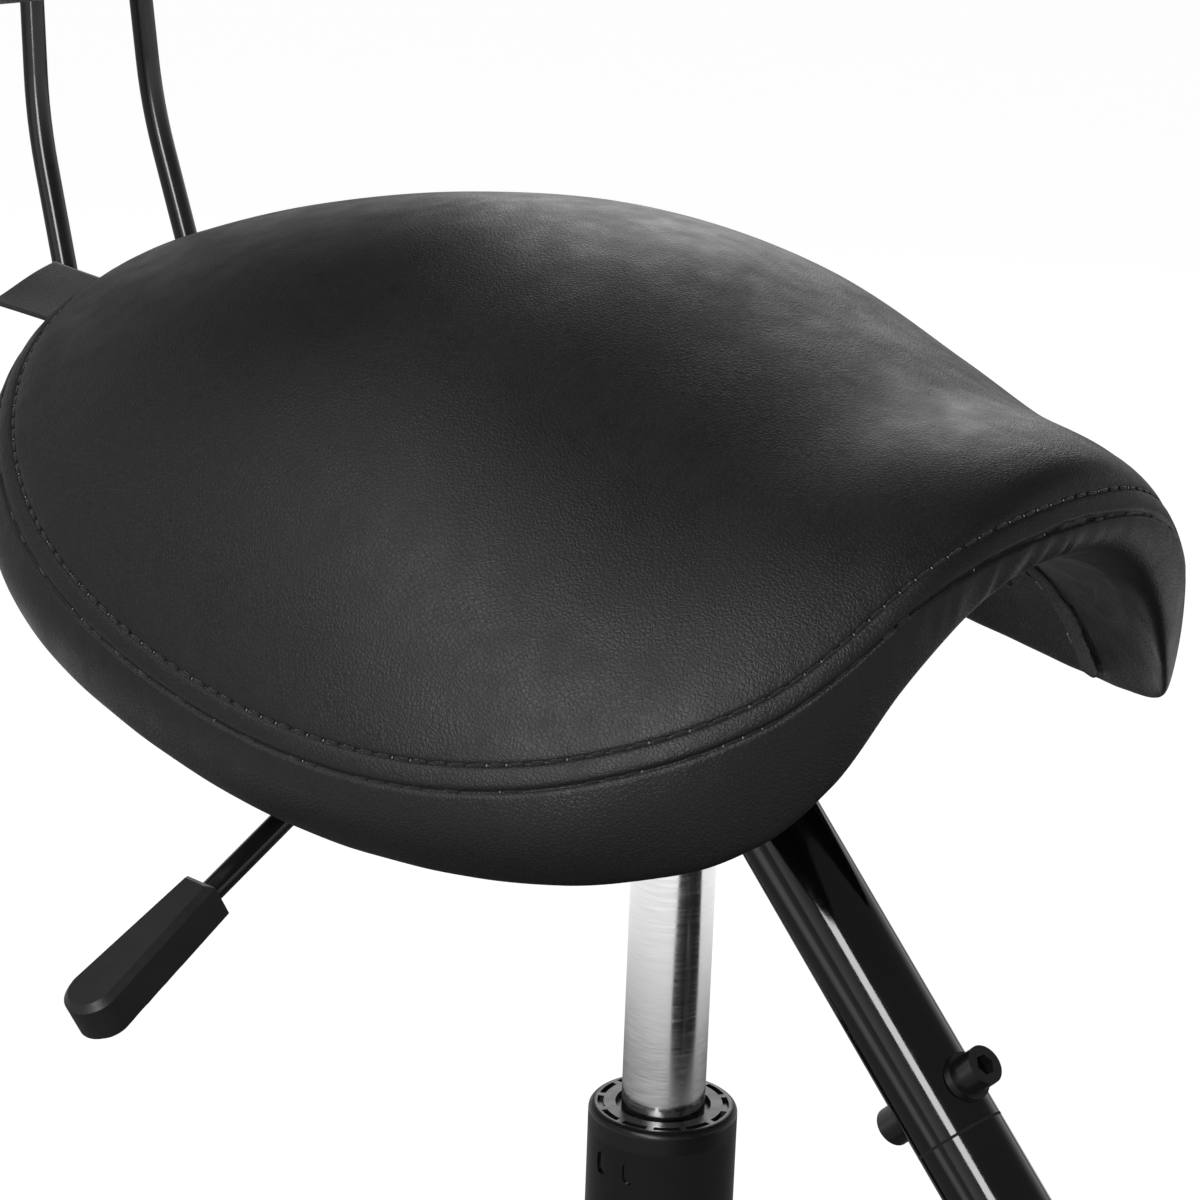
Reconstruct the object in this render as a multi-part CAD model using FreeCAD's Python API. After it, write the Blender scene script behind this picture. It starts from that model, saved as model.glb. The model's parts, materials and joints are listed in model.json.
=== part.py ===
import FreeCAD, Part
import math
import os

# Saddle stool on a gas lift, with a back rest and a knee rest.
# Frame: millimetres, +Z up, origin on the floor under the gas lift.
# The nose of the saddle and the knee rest point along -Y, the back rest along +Y.
# The lift lever is on the sitter's right, along -X.

# Gas lift and column
column_top = 300.0
column_diameter = 50.0
column_wall = 2.0
column_floor = 4.0
cylinder_diameter = 28.0
cylinder_wall = 2.0
cylinder_bottom_reserve = 14.0
cylinder_taper_length = 62.0
cylinder_taper_drop = 0.8
cylinder_in_tray = 6.0
piston_rod_diameter = 10.0
piston_height = 14.0
gland_height = 15.0
end_stand = 1.5
lift_up = 12.0
lift_down = 88.0
release_pin_diameter = 6.0
release_pin_stand = 7.5
release_pin_length = 36.0
release_pin_reach = 4.0
running_gap = 0.05
bearing_gap = 0.02
cut_past = 1.0

# Column cap
cap_height = 8.0
cap_skirt = 12.0
cap_opening = 32.0
cap_edge = 2.5
cap_slot_count = 12
cap_slot_ring = 42.0
cap_slot_bridge = 2.3
cap_slot_width = 2.1
cap_slot_depth = 1.4
crimp_top = 12.0
crimp_height = 8.0
crimp_width = 4.5
crimp_depth = 0.8
crimp_turns = (168.8, 196.1, 348.8, 376.1)
guide_length = 90.0
guide_neck_wall = 1.85
guide_neck_inset = 2.0

# Thrust bearing and retainer at the foot of the piston rod
race_diameter = 26.0
race_height = 2.0
ball_diameter = 4.0
ball_count = 9
ball_ring = 18.0
bump_height = 20.0
bump_diameter = 24.0
washer_diameter = 22.0
washer_height = 1.5
clip_height = 2.5
clip_diameter = 16.0

# Five-star base
leg_count = 5
base_radius = 270.0
base_underside = 62.0
hub_height = 68.0
hub_top_diameter = 76.0
hub_bottom_diameter = 84.0
hub_ledge = 4.0
leg_root_width = 46.0
leg_tip_width = 32.0
leg_root_height = 52.0
leg_tip_height = 25.0
leg_wall = 4.0
leg_rib = 3.0
leg_turn = 90.0
leg_tip_lip = 1.0
leg_tip_step = 2.0

# Casters
wheel_diameter = 50.0
wheel_width = 18.0
wheel_shoulder = 3.0
wheel_rim = 6.0
wheel_dish_depth = 2.0
wheel_hub_diameter = 22.0
web_width = 8.0
wheel_side_gap = 0.4
caster_trail = 19.0
stem_diameter = 11.0
stem_in_leg = 22.0
stem_in_housing = 16.0
stem_end_gap = 1.0
axle_diameter = 8.0
hood_wall = 2.4
hood_gap = 1.6
hood_foot = 3.0
housing_gap = 0.5
caster_boss_diameter = 24.0
caster_boss_room = 4.0

# Saddle outline: a rounded plan curve through the lower seam
seat_half_width = 170.0
seat_widest_y = 50.0
seat_rear_y = 235.0
seat_nose_y = -148.0
seat_plan_power = 2.4
seat_panel_bulge = 5.0

# Heights over the column top along the saddle, from the rear to the nose, as (y, height)
seam_line = [(235, 247), (198, 224), (149, 199), (92, 179), (35, 166), (-18, 162),
             (-63, 166), (-99, 177), (-121, 190), (-132, 204), (-140, 220), (-148, 235)]
crown_line = [(235, 248), (230, 255), (217, 262), (175, 276), (121, 288), (63, 294), (8, 289),
              (-41, 273), (-82, 260), (-120, 256), (-136, 253), (-144, 248), (-148, 237)]
under_line = [(235, 214), (175, 222), (121, 228), (63, 232), (8, 229), (-41, 222),
              (-82, 217), (-120, 220), (-148, 226)]
# The side panel below the seam: how far it drops and how far it tucks in, as (y, size)
panel_drop_line = [(235, 35), (149, 31), (63, 29), (-18, 30), (-63, 34), (-99, 37),
                   (-117, 36), (-132, 29), (-140, 18), (-148, 10)]
panel_tuck_line = [(235, 0), (149, 3), (63, 10), (-41, 12), (-93, 8), (-117, 4), (-148, 3)]

# Shell, dust cover and tag
shell_thickness = 9.0
shell_proud = 1.0
shell_margin = 34.0
dust_cover_thickness = 1.0
dust_cover_gap = 0.1
tag_turn = 16.0
tag_tilt = 10.0
tag_roll = 9.0
tag_from_rear = 7.0
tag_under_seam = 1.0
tag_width = 38.0
tag_length = 21.0
tag_thickness = 1.2
tag_tuck = 4.0

# Mechanism under the saddle
plate_top = 196.0
plate_thickness = 3.0
plate_half_width = 75.0
plate_front_y = -60.0
plate_rear_y = 150.0
tray_half_width = 45.0
tray_front_y = -50.0
tray_rear_y = 92.0
tray_depth = 34.0
block_margin = 5.0
block_room = 60.0
block_side_gap = 1.0
block_top_gap = 0.2
seat_bolt_diameter = 6.0
seat_bolt_head_diameter = 10.0
seat_bolt_head_height = 4.0
seat_bolt_x = 62.0
seat_bolt_inset = 13.0
seat_bolt_grip = 16.0
bolt_hole_gap = 0.3
socket_wall = 5.0
socket_length = 58.0

# Lift lever
lever_pivot = (-38.0, 38.0, 181.0)
lever_tip = (-216.0, 42.0, 80.0)
lever_diameter = 7.4
lever_boss_diameter = 12.0
lever_boss_width = 12.0
lever_pin_diameter = 6.0
lever_blade_width = 10.0
lever_blade_height = 4.0
lever_blade_past_pin = 7.0
lever_lift = 6.0
lever_pin_gap = 0.3
lever_ear_width = 4.0
lever_ear_half = 4.0
lever_foot_thickness = 2.0
grip_end_cover = 10.0
grip_length = 57.0
grip_root_width = 13.0
grip_tip_width = 19.0
grip_height = 15.0
grip_edge = 2.0
grip_grooves = 3
grip_groove_depth = 1.8
grip_groove_radius = 4.5
grip_groove_first = 25.0
grip_groove_step = 8.0

# Back rest
back_rod_diameter = 8.5
back_rod_start = (33.0, 104.0)
back_rod_heel = (31.6, 255.0)
back_rod_knee = (26.6, 290.6, 290.5)
back_rod_end = (20.0, 309.0, 450.0)
back_rod_heel_radius = 62.0
back_rod_knee_radius = 150.0
back_pad_width = 340.0
back_pad_height = 150.0
back_pad_thickness = 45.0
back_pad_centre = 410.0
back_board_thickness = 10.0
back_board_margin = 12.0
back_board_corner = 30.0
back_clamp_width = 90.0
back_clamp_length = 30.0
back_clamp_height = 7.0
back_clamp_inset = 2.0
back_rod_cover = 1.0
clamp_screw_outer = 40.0
clamp_screw_inner = 8.0
back_plate_width = 76.0
back_plate_height = 92.0
back_plate_thickness = 2.5
back_plate_corner = 8.0
back_screw_margin = 7.0
screw_diameter = 5.0
screw_head_diameter = 9.0
screw_head_height = 2.6
screw_cover = 2.0

# Knee arm
arm_slope = 45.7
arm_crossing_y = -152.6
arm_diameter = 29.5
arm_wall = 2.0
arm_splice = -43.0
arm_end = 122.0
arm_top_drop = 14.0
spigot_length = 46.0
spigot_gap = 0.1
spigot_web = 4.0
splice_screw_diameter = 8.0
splice_screw_inset = 14.0
splice_head_diameter = 13.0
splice_head_height = 8.0
splice_washer_diameter = 16.0
splice_washer_height = 1.6
splice_saddle_depth = 1.0
splice_hex_size = 3.5
splice_hex_depth = 4.4
knee_tilt = 30.0
knee_pad_width = 150.0
knee_pad_depth = 130.0
knee_pad_thickness = 42.0
knee_pad_gap = 48.0
knee_pad_centre = (-262.0, -40.0)
knee_board_thickness = 10.0
knee_board_margin = 10.0
knee_board_corner = 18.0
knee_screw_spread = 35.0
knee_plate_width = 290.0
knee_plate_depth = 104.0
knee_plate_thickness = 4.0
knee_plate_corner = 14.0
pad_corner_power = 5.0
pad_edge_share = 0.70
pad_edge_bulge = 4.0

# Values worked out from the sizes above
column_radius = column_diameter / 2
column_bore = column_radius - column_wall
column_base = base_underside + hub_ledge
bump_top = column_base + column_floor + 2 * race_height + ball_diameter + bump_height
cylinder_bottom = bump_top + lift_down + cylinder_bottom_reserve
cylinder_radius = cylinder_diameter / 2
cylinder_bore = cylinder_radius - cylinder_wall
rod_radius = piston_rod_diameter / 2
tray_bottom = column_top + plate_top - tray_depth
plate_height = column_top + plate_top
cylinder_top = tray_bottom + cylinder_in_tray
socket_bottom = tray_bottom - socket_length
arm_top_height = plate_top - tray_depth - arm_top_drop
release_pin_top = cylinder_top + release_pin_stand
back_lean = math.atan2(back_rod_end[1] - back_rod_knee[1], back_rod_end[2] - back_rod_knee[2])

nodes = {}
plate_screws = []


def vector(x, y, z):
    return FreeCAD.Vector(x, y, z)


def cylinder(radius, low, high, x=0.0, y=0.0):
    return Part.makeCylinder(radius, high - low, vector(x, y, low))


def ring(outer, inner, low, high, x=0.0, y=0.0):
    return cylinder(outer, low, high, x, y).cut(cylinder(inner, low, high, x, y))


def cone(low_radius, high_radius, low, high):
    return Part.makeCone(low_radius, high_radius, high - low, vector(0, 0, low))


def block(x_span, y_span, z_span):
    size = [span[1] - span[0] for span in (x_span, y_span, z_span)]
    return Part.makeBox(size[0], size[1], size[2], vector(x_span[0], y_span[0], z_span[0]))


def rod_between(start, end, radius):
    run = end.sub(start)
    return Part.makeCylinder(radius, run.Length, start, run)


def turned(shape, angle):
    copy = shape.copy()
    copy.rotate(vector(0, 0, 0), vector(0, 0, 1), angle)
    return copy


def placed(shape, centre, angle, axis=(1, 0, 0)):
    copy = shape.copy()
    move = FreeCAD.Placement(centre, FreeCAD.Rotation(vector(*axis), angle))
    copy.Placement = move.multiply(copy.Placement)
    return copy


def fused(shapes):
    whole = shapes[0]
    for shape in shapes[1:]:
        whole = whole.fuse(shape)
    return whole.removeSplitter()


def group(shapes):
    return Part.Compound(shapes)


def smooth(points, y):
    """Height at y on a smooth curve through the points, which run from high y to low y."""
    line = sorted(points)
    last = len(line) - 1

    def slope(i):
        low = max(i - 1, 0)
        high = min(i + 1, last)
        return (line[high][1] - line[low][1]) / (line[high][0] - line[low][0])

    y = min(max(y, line[0][0]), line[last][0])
    i = max(k for k in range(last) if line[k][0] <= y)
    span = line[i + 1][0] - line[i][0]
    t = (y - line[i][0]) / span
    rise = line[i + 1][1] - line[i][1]
    start = slope(i) * span
    end = slope(i + 1) * span
    return line[i][1] + start * t + (3 * rise - 2 * start - end) * t * t + (start + end - 2 * rise) * t ** 3


def half_length(y, inset):
    """Length from the widest station to the end of the saddle on y's side, less the inset."""
    if y >= seat_widest_y:
        return seat_rear_y - seat_widest_y - inset
    return seat_widest_y - seat_nose_y - inset


def plan_half_width(y, inset):
    """Half width of the saddle's plan at y, drawn in by the inset all round."""
    part = abs(y - seat_widest_y) / half_length(y, inset)
    return (seat_half_width - inset) * (1 - part ** seat_plan_power) ** (1 / seat_plan_power)


def seam_half_width(y):
    return plan_half_width(y, 0.0)


def seam_height(y):
    return column_top + smooth(seam_line, y)


def crown_height(y):
    return column_top + smooth(crown_line, y)


def rim(y):
    """Half width and height of the lowest edge of the side panel."""
    return seam_half_width(y) - smooth(panel_tuck_line, y), seam_height(y) - smooth(panel_drop_line, y)


def arc(start, middle, end, y):
    points = [vector(p[0], y, p[1]) for p in (start, middle, end)]
    return Part.Arc(*points).toShape()


def line(start, end, y):
    return Part.makeLine(vector(start[0], y, start[1]), vector(end[0], y, end[1]))


def bulged(start, end, bulge, y):
    """Arc from start to end whose middle stands out to the left of the run by the bulge."""
    run = (end[0] - start[0], end[1] - start[1])
    length = math.hypot(*run)
    middle = ((start[0] + end[0]) / 2 - run[1] / length * bulge,
              (start[1] + end[1]) / 2 + run[0] / length * bulge)
    return arc(start, middle, end, y)


def saddle_section(y):
    half, seam = seam_half_width(y), seam_height(y)
    rim_half, rim_low = rim(y)
    under = column_top + smooth(under_line, y)
    return Part.Wire([
        arc((-half, seam), (0, crown_height(y)), (half, seam), y),
        bulged((half, seam), (rim_half, rim_low), seat_panel_bulge, y),
        arc((rim_half, rim_low), (0, under), (-rim_half, rim_low), y),
        bulged((-rim_half, rim_low), (-half, seam), seat_panel_bulge, y)])


def under_arc(y):
    """Centre height and radius of the round underside, and the shell's half width there."""
    rim_half, rim_low = rim(y)
    rise = column_top + smooth(under_line, y) - rim_low
    radius = (rim_half ** 2 + rise ** 2) / (2 * rise)
    return rim_low + rise - radius, radius, plan_half_width(y, shell_margin)


def layer_section(y, outward, inward):
    """Thin layer that follows the round underside, from outward above it to inward below it."""
    centre, radius, half = under_arc(y)
    angle = math.asin(half / radius)

    def at(size, turn):
        return size * math.sin(turn), centre + size * math.cos(turn)

    high, low = radius + outward, radius - inward
    return Part.Wire([
        arc(at(high, -angle), at(high, 0), at(high, angle), y),
        line(at(high, angle), at(low, angle), y),
        arc(at(low, angle), at(low, 0), at(low, -angle), y),
        line(at(low, -angle), at(high, -angle), y)])


def core_section(y):
    """Space under the shell and its dust cover, down to the foot of the taper socket."""
    centre, radius, half = under_arc(y)
    low = radius - shell_proud - dust_cover_gap - dust_cover_thickness - block_top_gap
    edge = plate_half_width + block_side_gap
    height = centre + math.sqrt(low ** 2 - edge ** 2)
    return Part.Wire([
        arc((-edge, height), (0, centre + low), (edge, height), y),
        line((edge, height), (edge, socket_bottom), y),
        line((edge, socket_bottom), (-edge, socket_bottom), y),
        line((-edge, socket_bottom), (-edge, height), y)])


def stations(shares, inset):
    """Stations from the rear to the nose at these shares of each half length, less the inset."""
    rear = [seat_widest_y + s * half_length(seat_rear_y, inset) for s in shares]
    nose = [seat_widest_y - s * half_length(seat_nose_y, inset) for s in reversed(shares)]
    return rear + nose


def loft(section, places):
    return Part.makeLoft([section(y) for y in places], True, False)


def make_saddle():
    body = loft(saddle_section, stations([0.998, 0.985, 0.955, 0.90, 0.82, 0.70, 0.54, 0.34, 0.12], 0.0))
    inner = stations([0.985, 0.95, 0.88, 0.76, 0.60, 0.42, 0.22, 0.06], shell_margin)
    shell = loft(lambda y: layer_section(y, shell_thickness - shell_proud, shell_proud), inner)
    cover_high = shell_proud + dust_cover_gap
    cover = loft(lambda y: layer_section(y, -cover_high, cover_high + dust_cover_thickness), inner)
    core = loft(core_section, stations([0.84, 0.70, 0.52, 0.34, 0.12], shell_margin))
    inside = block((-plate_half_width + block_margin, plate_half_width - block_margin),
                   (plate_front_y + block_margin, plate_rear_y - block_margin),
                   (plate_height, plate_height + block_room))
    spacer = inside.common(core)
    nodes["seat_cushion"] = body.cut(shell)
    nodes["seat_shell"] = shell
    nodes["seat_dust_cover"] = cover
    nodes["seat_spacer_block"] = spacer


def make_tag():
    """Cloth loop caught in the seam at the rear on the sitter's right."""
    tag = block((-tag_width / 2, tag_width / 2), (-tag_tuck, tag_length), (0, tag_thickness))
    y = seat_rear_y - tag_from_rear
    root = vector(-seam_half_width(y), y, seam_height(y) - tag_under_seam)
    level = placed(tag, vector(0, 0, 0), tag_tilt)
    level = placed(level, vector(0, 0, 0), -tag_roll, (0, 1, 0))
    tag = placed(level, root, tag_turn, (0, 0, 1))
    nodes["seat_tag"] = tag.cut(nodes["seat_cushion"])


def crimp_tool():
    """Upright oblong pocket in the column's wall, on the +X side."""
    radius = crimp_width / 2
    low = column_top - crimp_top - crimp_height + radius
    high = column_top - crimp_top - radius
    inner = column_radius - crimp_depth
    outward = vector(1, 0, 0)
    ends = [Part.makeCylinder(radius, column_wall, vector(inner, 0, z), outward) for z in (low, high)]
    middle = block((inner, inner + column_wall), (-radius, radius), (low, high))
    return fused(ends + [middle])


def make_gas_lift():
    """Standing column, its cap and guide, and the gas cylinder that slides on the piston rod."""
    floor_top = column_base + column_floor
    tube = ring(column_radius, column_bore, column_base, column_top - cap_height)
    plate = ring(column_radius, rod_radius + bolt_hole_gap, column_base, floor_top)
    column = fused([tube, plate])
    for angle in crimp_turns:
        column = column.cut(turned(crimp_tool(), angle))
    nodes["column_tube"] = column

    cap_base = column_top - cap_height
    opening = cap_opening / 2
    cap = cylinder(column_radius, cap_base, column_top)
    cap = cap.makeFillet(cap_edge, [e for e in cap.Edges if e.CenterOfMass.z > column_top - running_gap])
    cap = fused([cap, cylinder(column_bore, cap_base - cap_skirt, cap_base)])
    cap = cap.cut(cylinder(opening, cap_base - cap_skirt, column_top))
    slot_low = column_top - cap_slot_depth
    slots = ring((cap_slot_ring + cap_slot_width) / 2, (cap_slot_ring - cap_slot_width) / 2,
                 slot_low, column_top + cut_past)
    bridge = block((0, column_radius), (-cap_slot_bridge / 2, cap_slot_bridge / 2),
                   (slot_low, column_top + cut_past))
    for i in range(cap_slot_count):
        slots = slots.cut(turned(bridge, 360.0 * i / cap_slot_count))
    nodes["column_cap"] = cap.cut(slots)

    guide_top = cap_base - cap_skirt
    bore = cylinder_radius + running_gap
    guide = ring(column_bore, bore, guide_top - guide_length, guide_top)
    neck = ring(bore + guide_neck_wall, bore, guide_top, column_top - guide_neck_inset)
    nodes["guide_sleeve"] = fused([guide, neck])

    taper_base = cylinder_top - cylinder_taper_length
    taper_radius = cylinder_radius - cylinder_taper_drop
    straight = cylinder(cylinder_radius, cylinder_bottom, taper_base)
    taper = cone(cylinder_radius, taper_radius, taper_base, cylinder_top)
    chamber_top = release_pin_top - release_pin_length + release_pin_reach
    chamber = cylinder(cylinder_bore, cylinder_bottom, chamber_top)
    pin_radius = release_pin_diameter / 2
    pin_bore = cylinder(pin_radius + running_gap, chamber_top, cylinder_top)
    nodes["gas_cylinder"] = fused([straight, taper]).cut(chamber).cut(pin_bore)
    nodes["cylinder_gland"] = ring(cylinder_bore, rod_radius + running_gap,
                                   cylinder_bottom, cylinder_bottom + gland_height)
    nodes["release_pin"] = cylinder(pin_radius, release_pin_top - release_pin_length, release_pin_top)

    piston_low = cylinder_bottom + gland_height + lift_up + end_stand
    piston_high = piston_low + piston_height
    rod_low = column_base - washer_height - clip_height - end_stand
    nodes["piston_rod"] = cylinder(rod_radius, rod_low, piston_high)
    nodes["piston"] = ring(cylinder_bore - running_gap, rod_radius, piston_low, piston_high)

    race_bore = rod_radius + bolt_hole_gap
    lower_top = floor_top + race_height
    upper_low = lower_top + ball_diameter
    upper_high = upper_low + race_height
    nodes["bearing_lower_race"] = ring(race_diameter / 2, race_bore, floor_top, lower_top)
    nodes["bearing_upper_race"] = ring(race_diameter / 2, rod_radius, upper_low, upper_high)
    ball_height = lower_top + ball_diameter / 2
    balls = []
    for i in range(ball_count):
        turn = 2 * math.pi * i / ball_count
        centre = vector(ball_ring / 2 * math.cos(turn), ball_ring / 2 * math.sin(turn), ball_height)
        balls.append(Part.makeSphere(ball_diameter / 2 - bearing_gap, centre))
    nodes["bearing_balls"] = group(balls)
    nodes["bump_stop"] = ring(bump_diameter / 2, rod_radius, upper_high, upper_high + bump_height)
    washer_high = column_base - bolt_hole_gap
    washer_low = washer_high - washer_height
    nodes["rod_washer"] = ring(washer_diameter / 2, rod_radius, washer_low, washer_high)
    nodes["rod_clip"] = ring(clip_diameter / 2, rod_radius, washer_low - clip_height, washer_low)


def leg_section(x, width, low, high):
    """Arched section of a leg: flat underneath, with a rounded top."""
    shoulder = high - width / 4
    points = [vector(x, -width / 2, low), vector(x, width / 2, low), vector(x, width / 2, shoulder),
              vector(x, -width / 2, shoulder)]
    top = Part.Arc(points[2], vector(x, 0, high), points[3]).toShape()
    sides = [Part.makeLine(points[i], points[i + 1]) for i in (0, 1)]
    return Part.Wire(sides + [top, Part.makeLine(points[3], points[0])])


def make_base():
    """One moulded star: hub, hollow legs and a stem socket at each tip."""
    hub_top = base_underside + hub_height
    hub = cone(hub_bottom_diameter / 2, hub_top_diameter / 2, base_underside, hub_top)
    root_x = hub_top_diameter / 4
    tip_top = base_underside + leg_tip_height
    root_top = base_underside + leg_root_height
    outer = Part.makeLoft([leg_section(root_x, leg_root_width, base_underside, root_top),
                           leg_section(base_radius, leg_tip_width, base_underside, tip_top)], True, True)
    round_tip = cylinder(leg_tip_width / 2 + leg_tip_lip, base_underside,
                         tip_top - leg_tip_width / 4 - leg_tip_step, base_radius)
    pocket_root = hub_bottom_diameter / 2 + leg_wall
    pocket_tip = base_radius - stem_diameter
    pocket_drop = 3 * leg_wall
    pocket_low = base_underside - cut_past
    pocket = Part.makeLoft([
        leg_section(pocket_root, leg_root_width - pocket_drop, pocket_low, root_top - pocket_drop),
        leg_section(pocket_tip, leg_tip_width - 2 * leg_wall, pocket_low, tip_top - leg_wall)], True, True)
    rib = block((pocket_root - cut_past, pocket_tip + cut_past), (-leg_rib / 2, leg_rib / 2),
                (base_underside + leg_rib, root_top)).common(outer)
    socket = cylinder(stem_diameter / 2 + leg_wall, base_underside, base_underside + stem_in_leg, base_radius)
    leg = fused([fused([outer, round_tip]).cut(pocket), rib, socket])
    star = fused([hub] + [turned(leg, 360.0 * i / leg_count + leg_turn) for i in range(leg_count)])
    star = star.cut(cylinder(column_radius, column_base, hub_top))
    star = star.cut(cylinder(column_radius - leg_wall, base_underside, column_base))
    stem_hole = cylinder(stem_diameter / 2, base_underside, base_underside + stem_in_leg, base_radius)
    for i in range(leg_count):
        star = star.cut(turned(stem_hole, 360.0 * i / leg_count + leg_turn))
    nodes["base_star"] = star


def caster_wheel(side):
    """Twin wheel with rounded shoulders, on the axle at the local origin."""
    radius = wheel_diameter / 2
    inner = web_width / 2 + wheel_side_gap
    outer = inner + wheel_width
    wheel = Part.makeCylinder(radius, wheel_width, vector(0, inner, 0), vector(0, 1, 0))
    wheel = wheel.makeFillet(wheel_shoulder, [e for e in wheel.Edges if e.Length > 3 * radius])
    dish_base = vector(0, outer - wheel_dish_depth, 0)
    dish = Part.makeCylinder(radius - wheel_rim, wheel_dish_depth, dish_base, vector(0, 1, 0))
    hub = Part.makeCylinder(wheel_hub_diameter / 2, wheel_dish_depth, dish_base, vector(0, 1, 0))
    wheel = wheel.cut(dish.cut(hub))
    bore_radius = axle_diameter / 2 + running_gap
    bore_length = wheel_width - wheel_shoulder
    wheel = wheel.cut(Part.makeCylinder(bore_radius, bore_length, vector(0, inner, 0), vector(0, 1, 0)))
    if side < 0:
        wheel = wheel.mirror(vector(0, 0, 0), vector(0, 1, 0))
    return wheel


def caster_housing():
    """Central web, hood over both wheels and the boss that takes the stem."""
    axle_height = wheel_diameter / 2
    hood_inner = axle_height + hood_gap
    hood_outer = hood_inner + hood_wall
    half = web_width / 2 + wheel_side_gap + wheel_width
    along = vector(0, 1, 0)
    web = Part.makeCylinder(hood_outer, web_width, vector(0, -web_width / 2, 0), along)
    hood = Part.makeCylinder(hood_outer, 2 * half, vector(0, -half, 0), along)
    hood = hood.cut(Part.makeCylinder(hood_inner, 2 * half, vector(0, -half, 0), along))
    wide = hood_outer + cut_past
    low_cut = block((-wide, wide), (-half - cut_past, half + cut_past), (-wide, hood_foot))
    hood = hood.cut(low_cut)
    web = web.cut(block((-wide, wide), (-half, half), (-wide, -axle_diameter)))
    top = base_underside - housing_gap - axle_height
    boss = cylinder(caster_boss_diameter / 2, caster_boss_room, top, caster_trail)
    wheel_room = Part.makeCylinder(hood_inner, 2 * half, vector(0, web_width / 2, 0), along)
    boss = boss.cut(wheel_room).cut(wheel_room.mirror(vector(0, 0, 0), along))
    housing = fused([web, hood, boss])
    stem_low = top - stem_in_housing
    housing = housing.cut(cylinder(stem_diameter / 2 + running_gap, stem_low, top, caster_trail))
    axle_hole = Part.makeCylinder(axle_diameter / 2, web_width, vector(0, -web_width / 2, 0), along)
    return housing.cut(axle_hole)


def make_casters():
    """Five twin-wheel casters; each one trails its stem towards the column."""
    axle_height = wheel_diameter / 2
    half = web_width / 2 + wheel_side_gap + wheel_width - wheel_shoulder - wheel_side_gap
    housing = caster_housing()
    wheels = group([caster_wheel(-1), caster_wheel(1)])
    axle = Part.makeCylinder(axle_diameter / 2, 2 * half, vector(0, -half, 0), vector(0, 1, 0))
    stem = cylinder(stem_diameter / 2, base_underside - housing_gap - stem_in_housing + stem_end_gap,
                    base_underside + stem_in_leg, base_radius)
    stems = []
    for i in range(leg_count):
        angle = 360.0 * i / leg_count + leg_turn
        place = vector(base_radius - caster_trail, 0, axle_height)
        stems.append(turned(stem, angle))
        for name, shape in (("caster_housing", housing), ("caster_axle", axle), ("caster_wheels", wheels)):
            copy = shape.copy()
            copy.translate(place)
            nodes["%s_%d" % (name, i + 1)] = turned(copy, angle)
    nodes["caster_stems"] = group(stems)


def make_mechanism():
    """Pressed plate with a tray, the taper socket and the bolts into the saddle."""
    top, low = plate_height, plate_height - plate_thickness
    wall = plate_thickness
    flange = block((-plate_half_width, plate_half_width), (plate_front_y, plate_rear_y), (low, top))
    tray = block((-tray_half_width, tray_half_width), (tray_front_y, tray_rear_y), (tray_bottom, top))
    hollow = block((-tray_half_width + wall, tray_half_width - wall),
                   (tray_front_y + wall, tray_rear_y - wall), (tray_bottom + wall, top))
    plate = fused([flange, tray]).cut(hollow)
    socket_radius = cylinder_radius + socket_wall
    plate = plate.cut(cylinder(socket_radius, tray_bottom, tray_bottom + wall))
    pivot = vector(lever_pivot[0], lever_pivot[1], column_top + lever_pivot[2])
    slot_half = lever_diameter
    lever_fall = (lever_pivot[2] - lever_tip[2]) / (lever_pivot[0] - lever_tip[0])
    lever_reach = tray_half_width + lever_pivot[0]
    slot_centre = pivot.z - lever_fall * lever_reach
    lever_rise = lever_reach * math.tan(math.radians(lever_lift))
    slot_high = pivot.z + lever_boss_diameter / 2 + lever_rise
    plate = plate.cut(block((-tray_half_width - cut_past, -tray_half_width + wall + cut_past),
                            (pivot.y - slot_half, pivot.y + slot_half),
                            (slot_centre - slot_half, slot_high)))
    bolt_radius = seat_bolt_diameter / 2
    bolt_places = [(x, y) for x in (-seat_bolt_x, seat_bolt_x)
                   for y in (plate_front_y + seat_bolt_inset, plate_rear_y - seat_bolt_inset)]
    hole_high = top + seat_bolt_grip + bolt_hole_gap
    bolts = []
    for x, y in bolt_places:
        hole = cylinder(bolt_radius + bolt_hole_gap, low - cut_past, hole_high, x, y)
        plate = plate.cut(hole)
        for name in ("seat_spacer_block", "seat_dust_cover", "seat_shell"):
            nodes[name] = nodes[name].cut(hole)
        head = cylinder(seat_bolt_head_diameter / 2, low - seat_bolt_head_height, low, x, y)
        bolts.append(fused([head, cylinder(bolt_radius, low, top + seat_bolt_grip, x, y)]))
    nodes["seat_bolts"] = group(bolts)

    screw_radius = screw_diameter / 2
    for x, y in clamp_screw_places():
        plate = plate.cut(cylinder(screw_radius, low, top, x, y))
    nodes["mechanism_plate"] = plate

    socket = cylinder(socket_radius, socket_bottom, tray_bottom + wall)
    taper_base = cylinder_top - cylinder_taper_length
    drop = cylinder_taper_drop * (tray_bottom + wall - taper_base) / cylinder_taper_length
    seat = cone(cylinder_radius, cylinder_radius - drop, taper_base, tray_bottom + wall)
    bore = fused([seat, cylinder(cylinder_radius, socket_bottom, taper_base)])
    nodes["taper_socket"] = socket.cut(bore)


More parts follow.
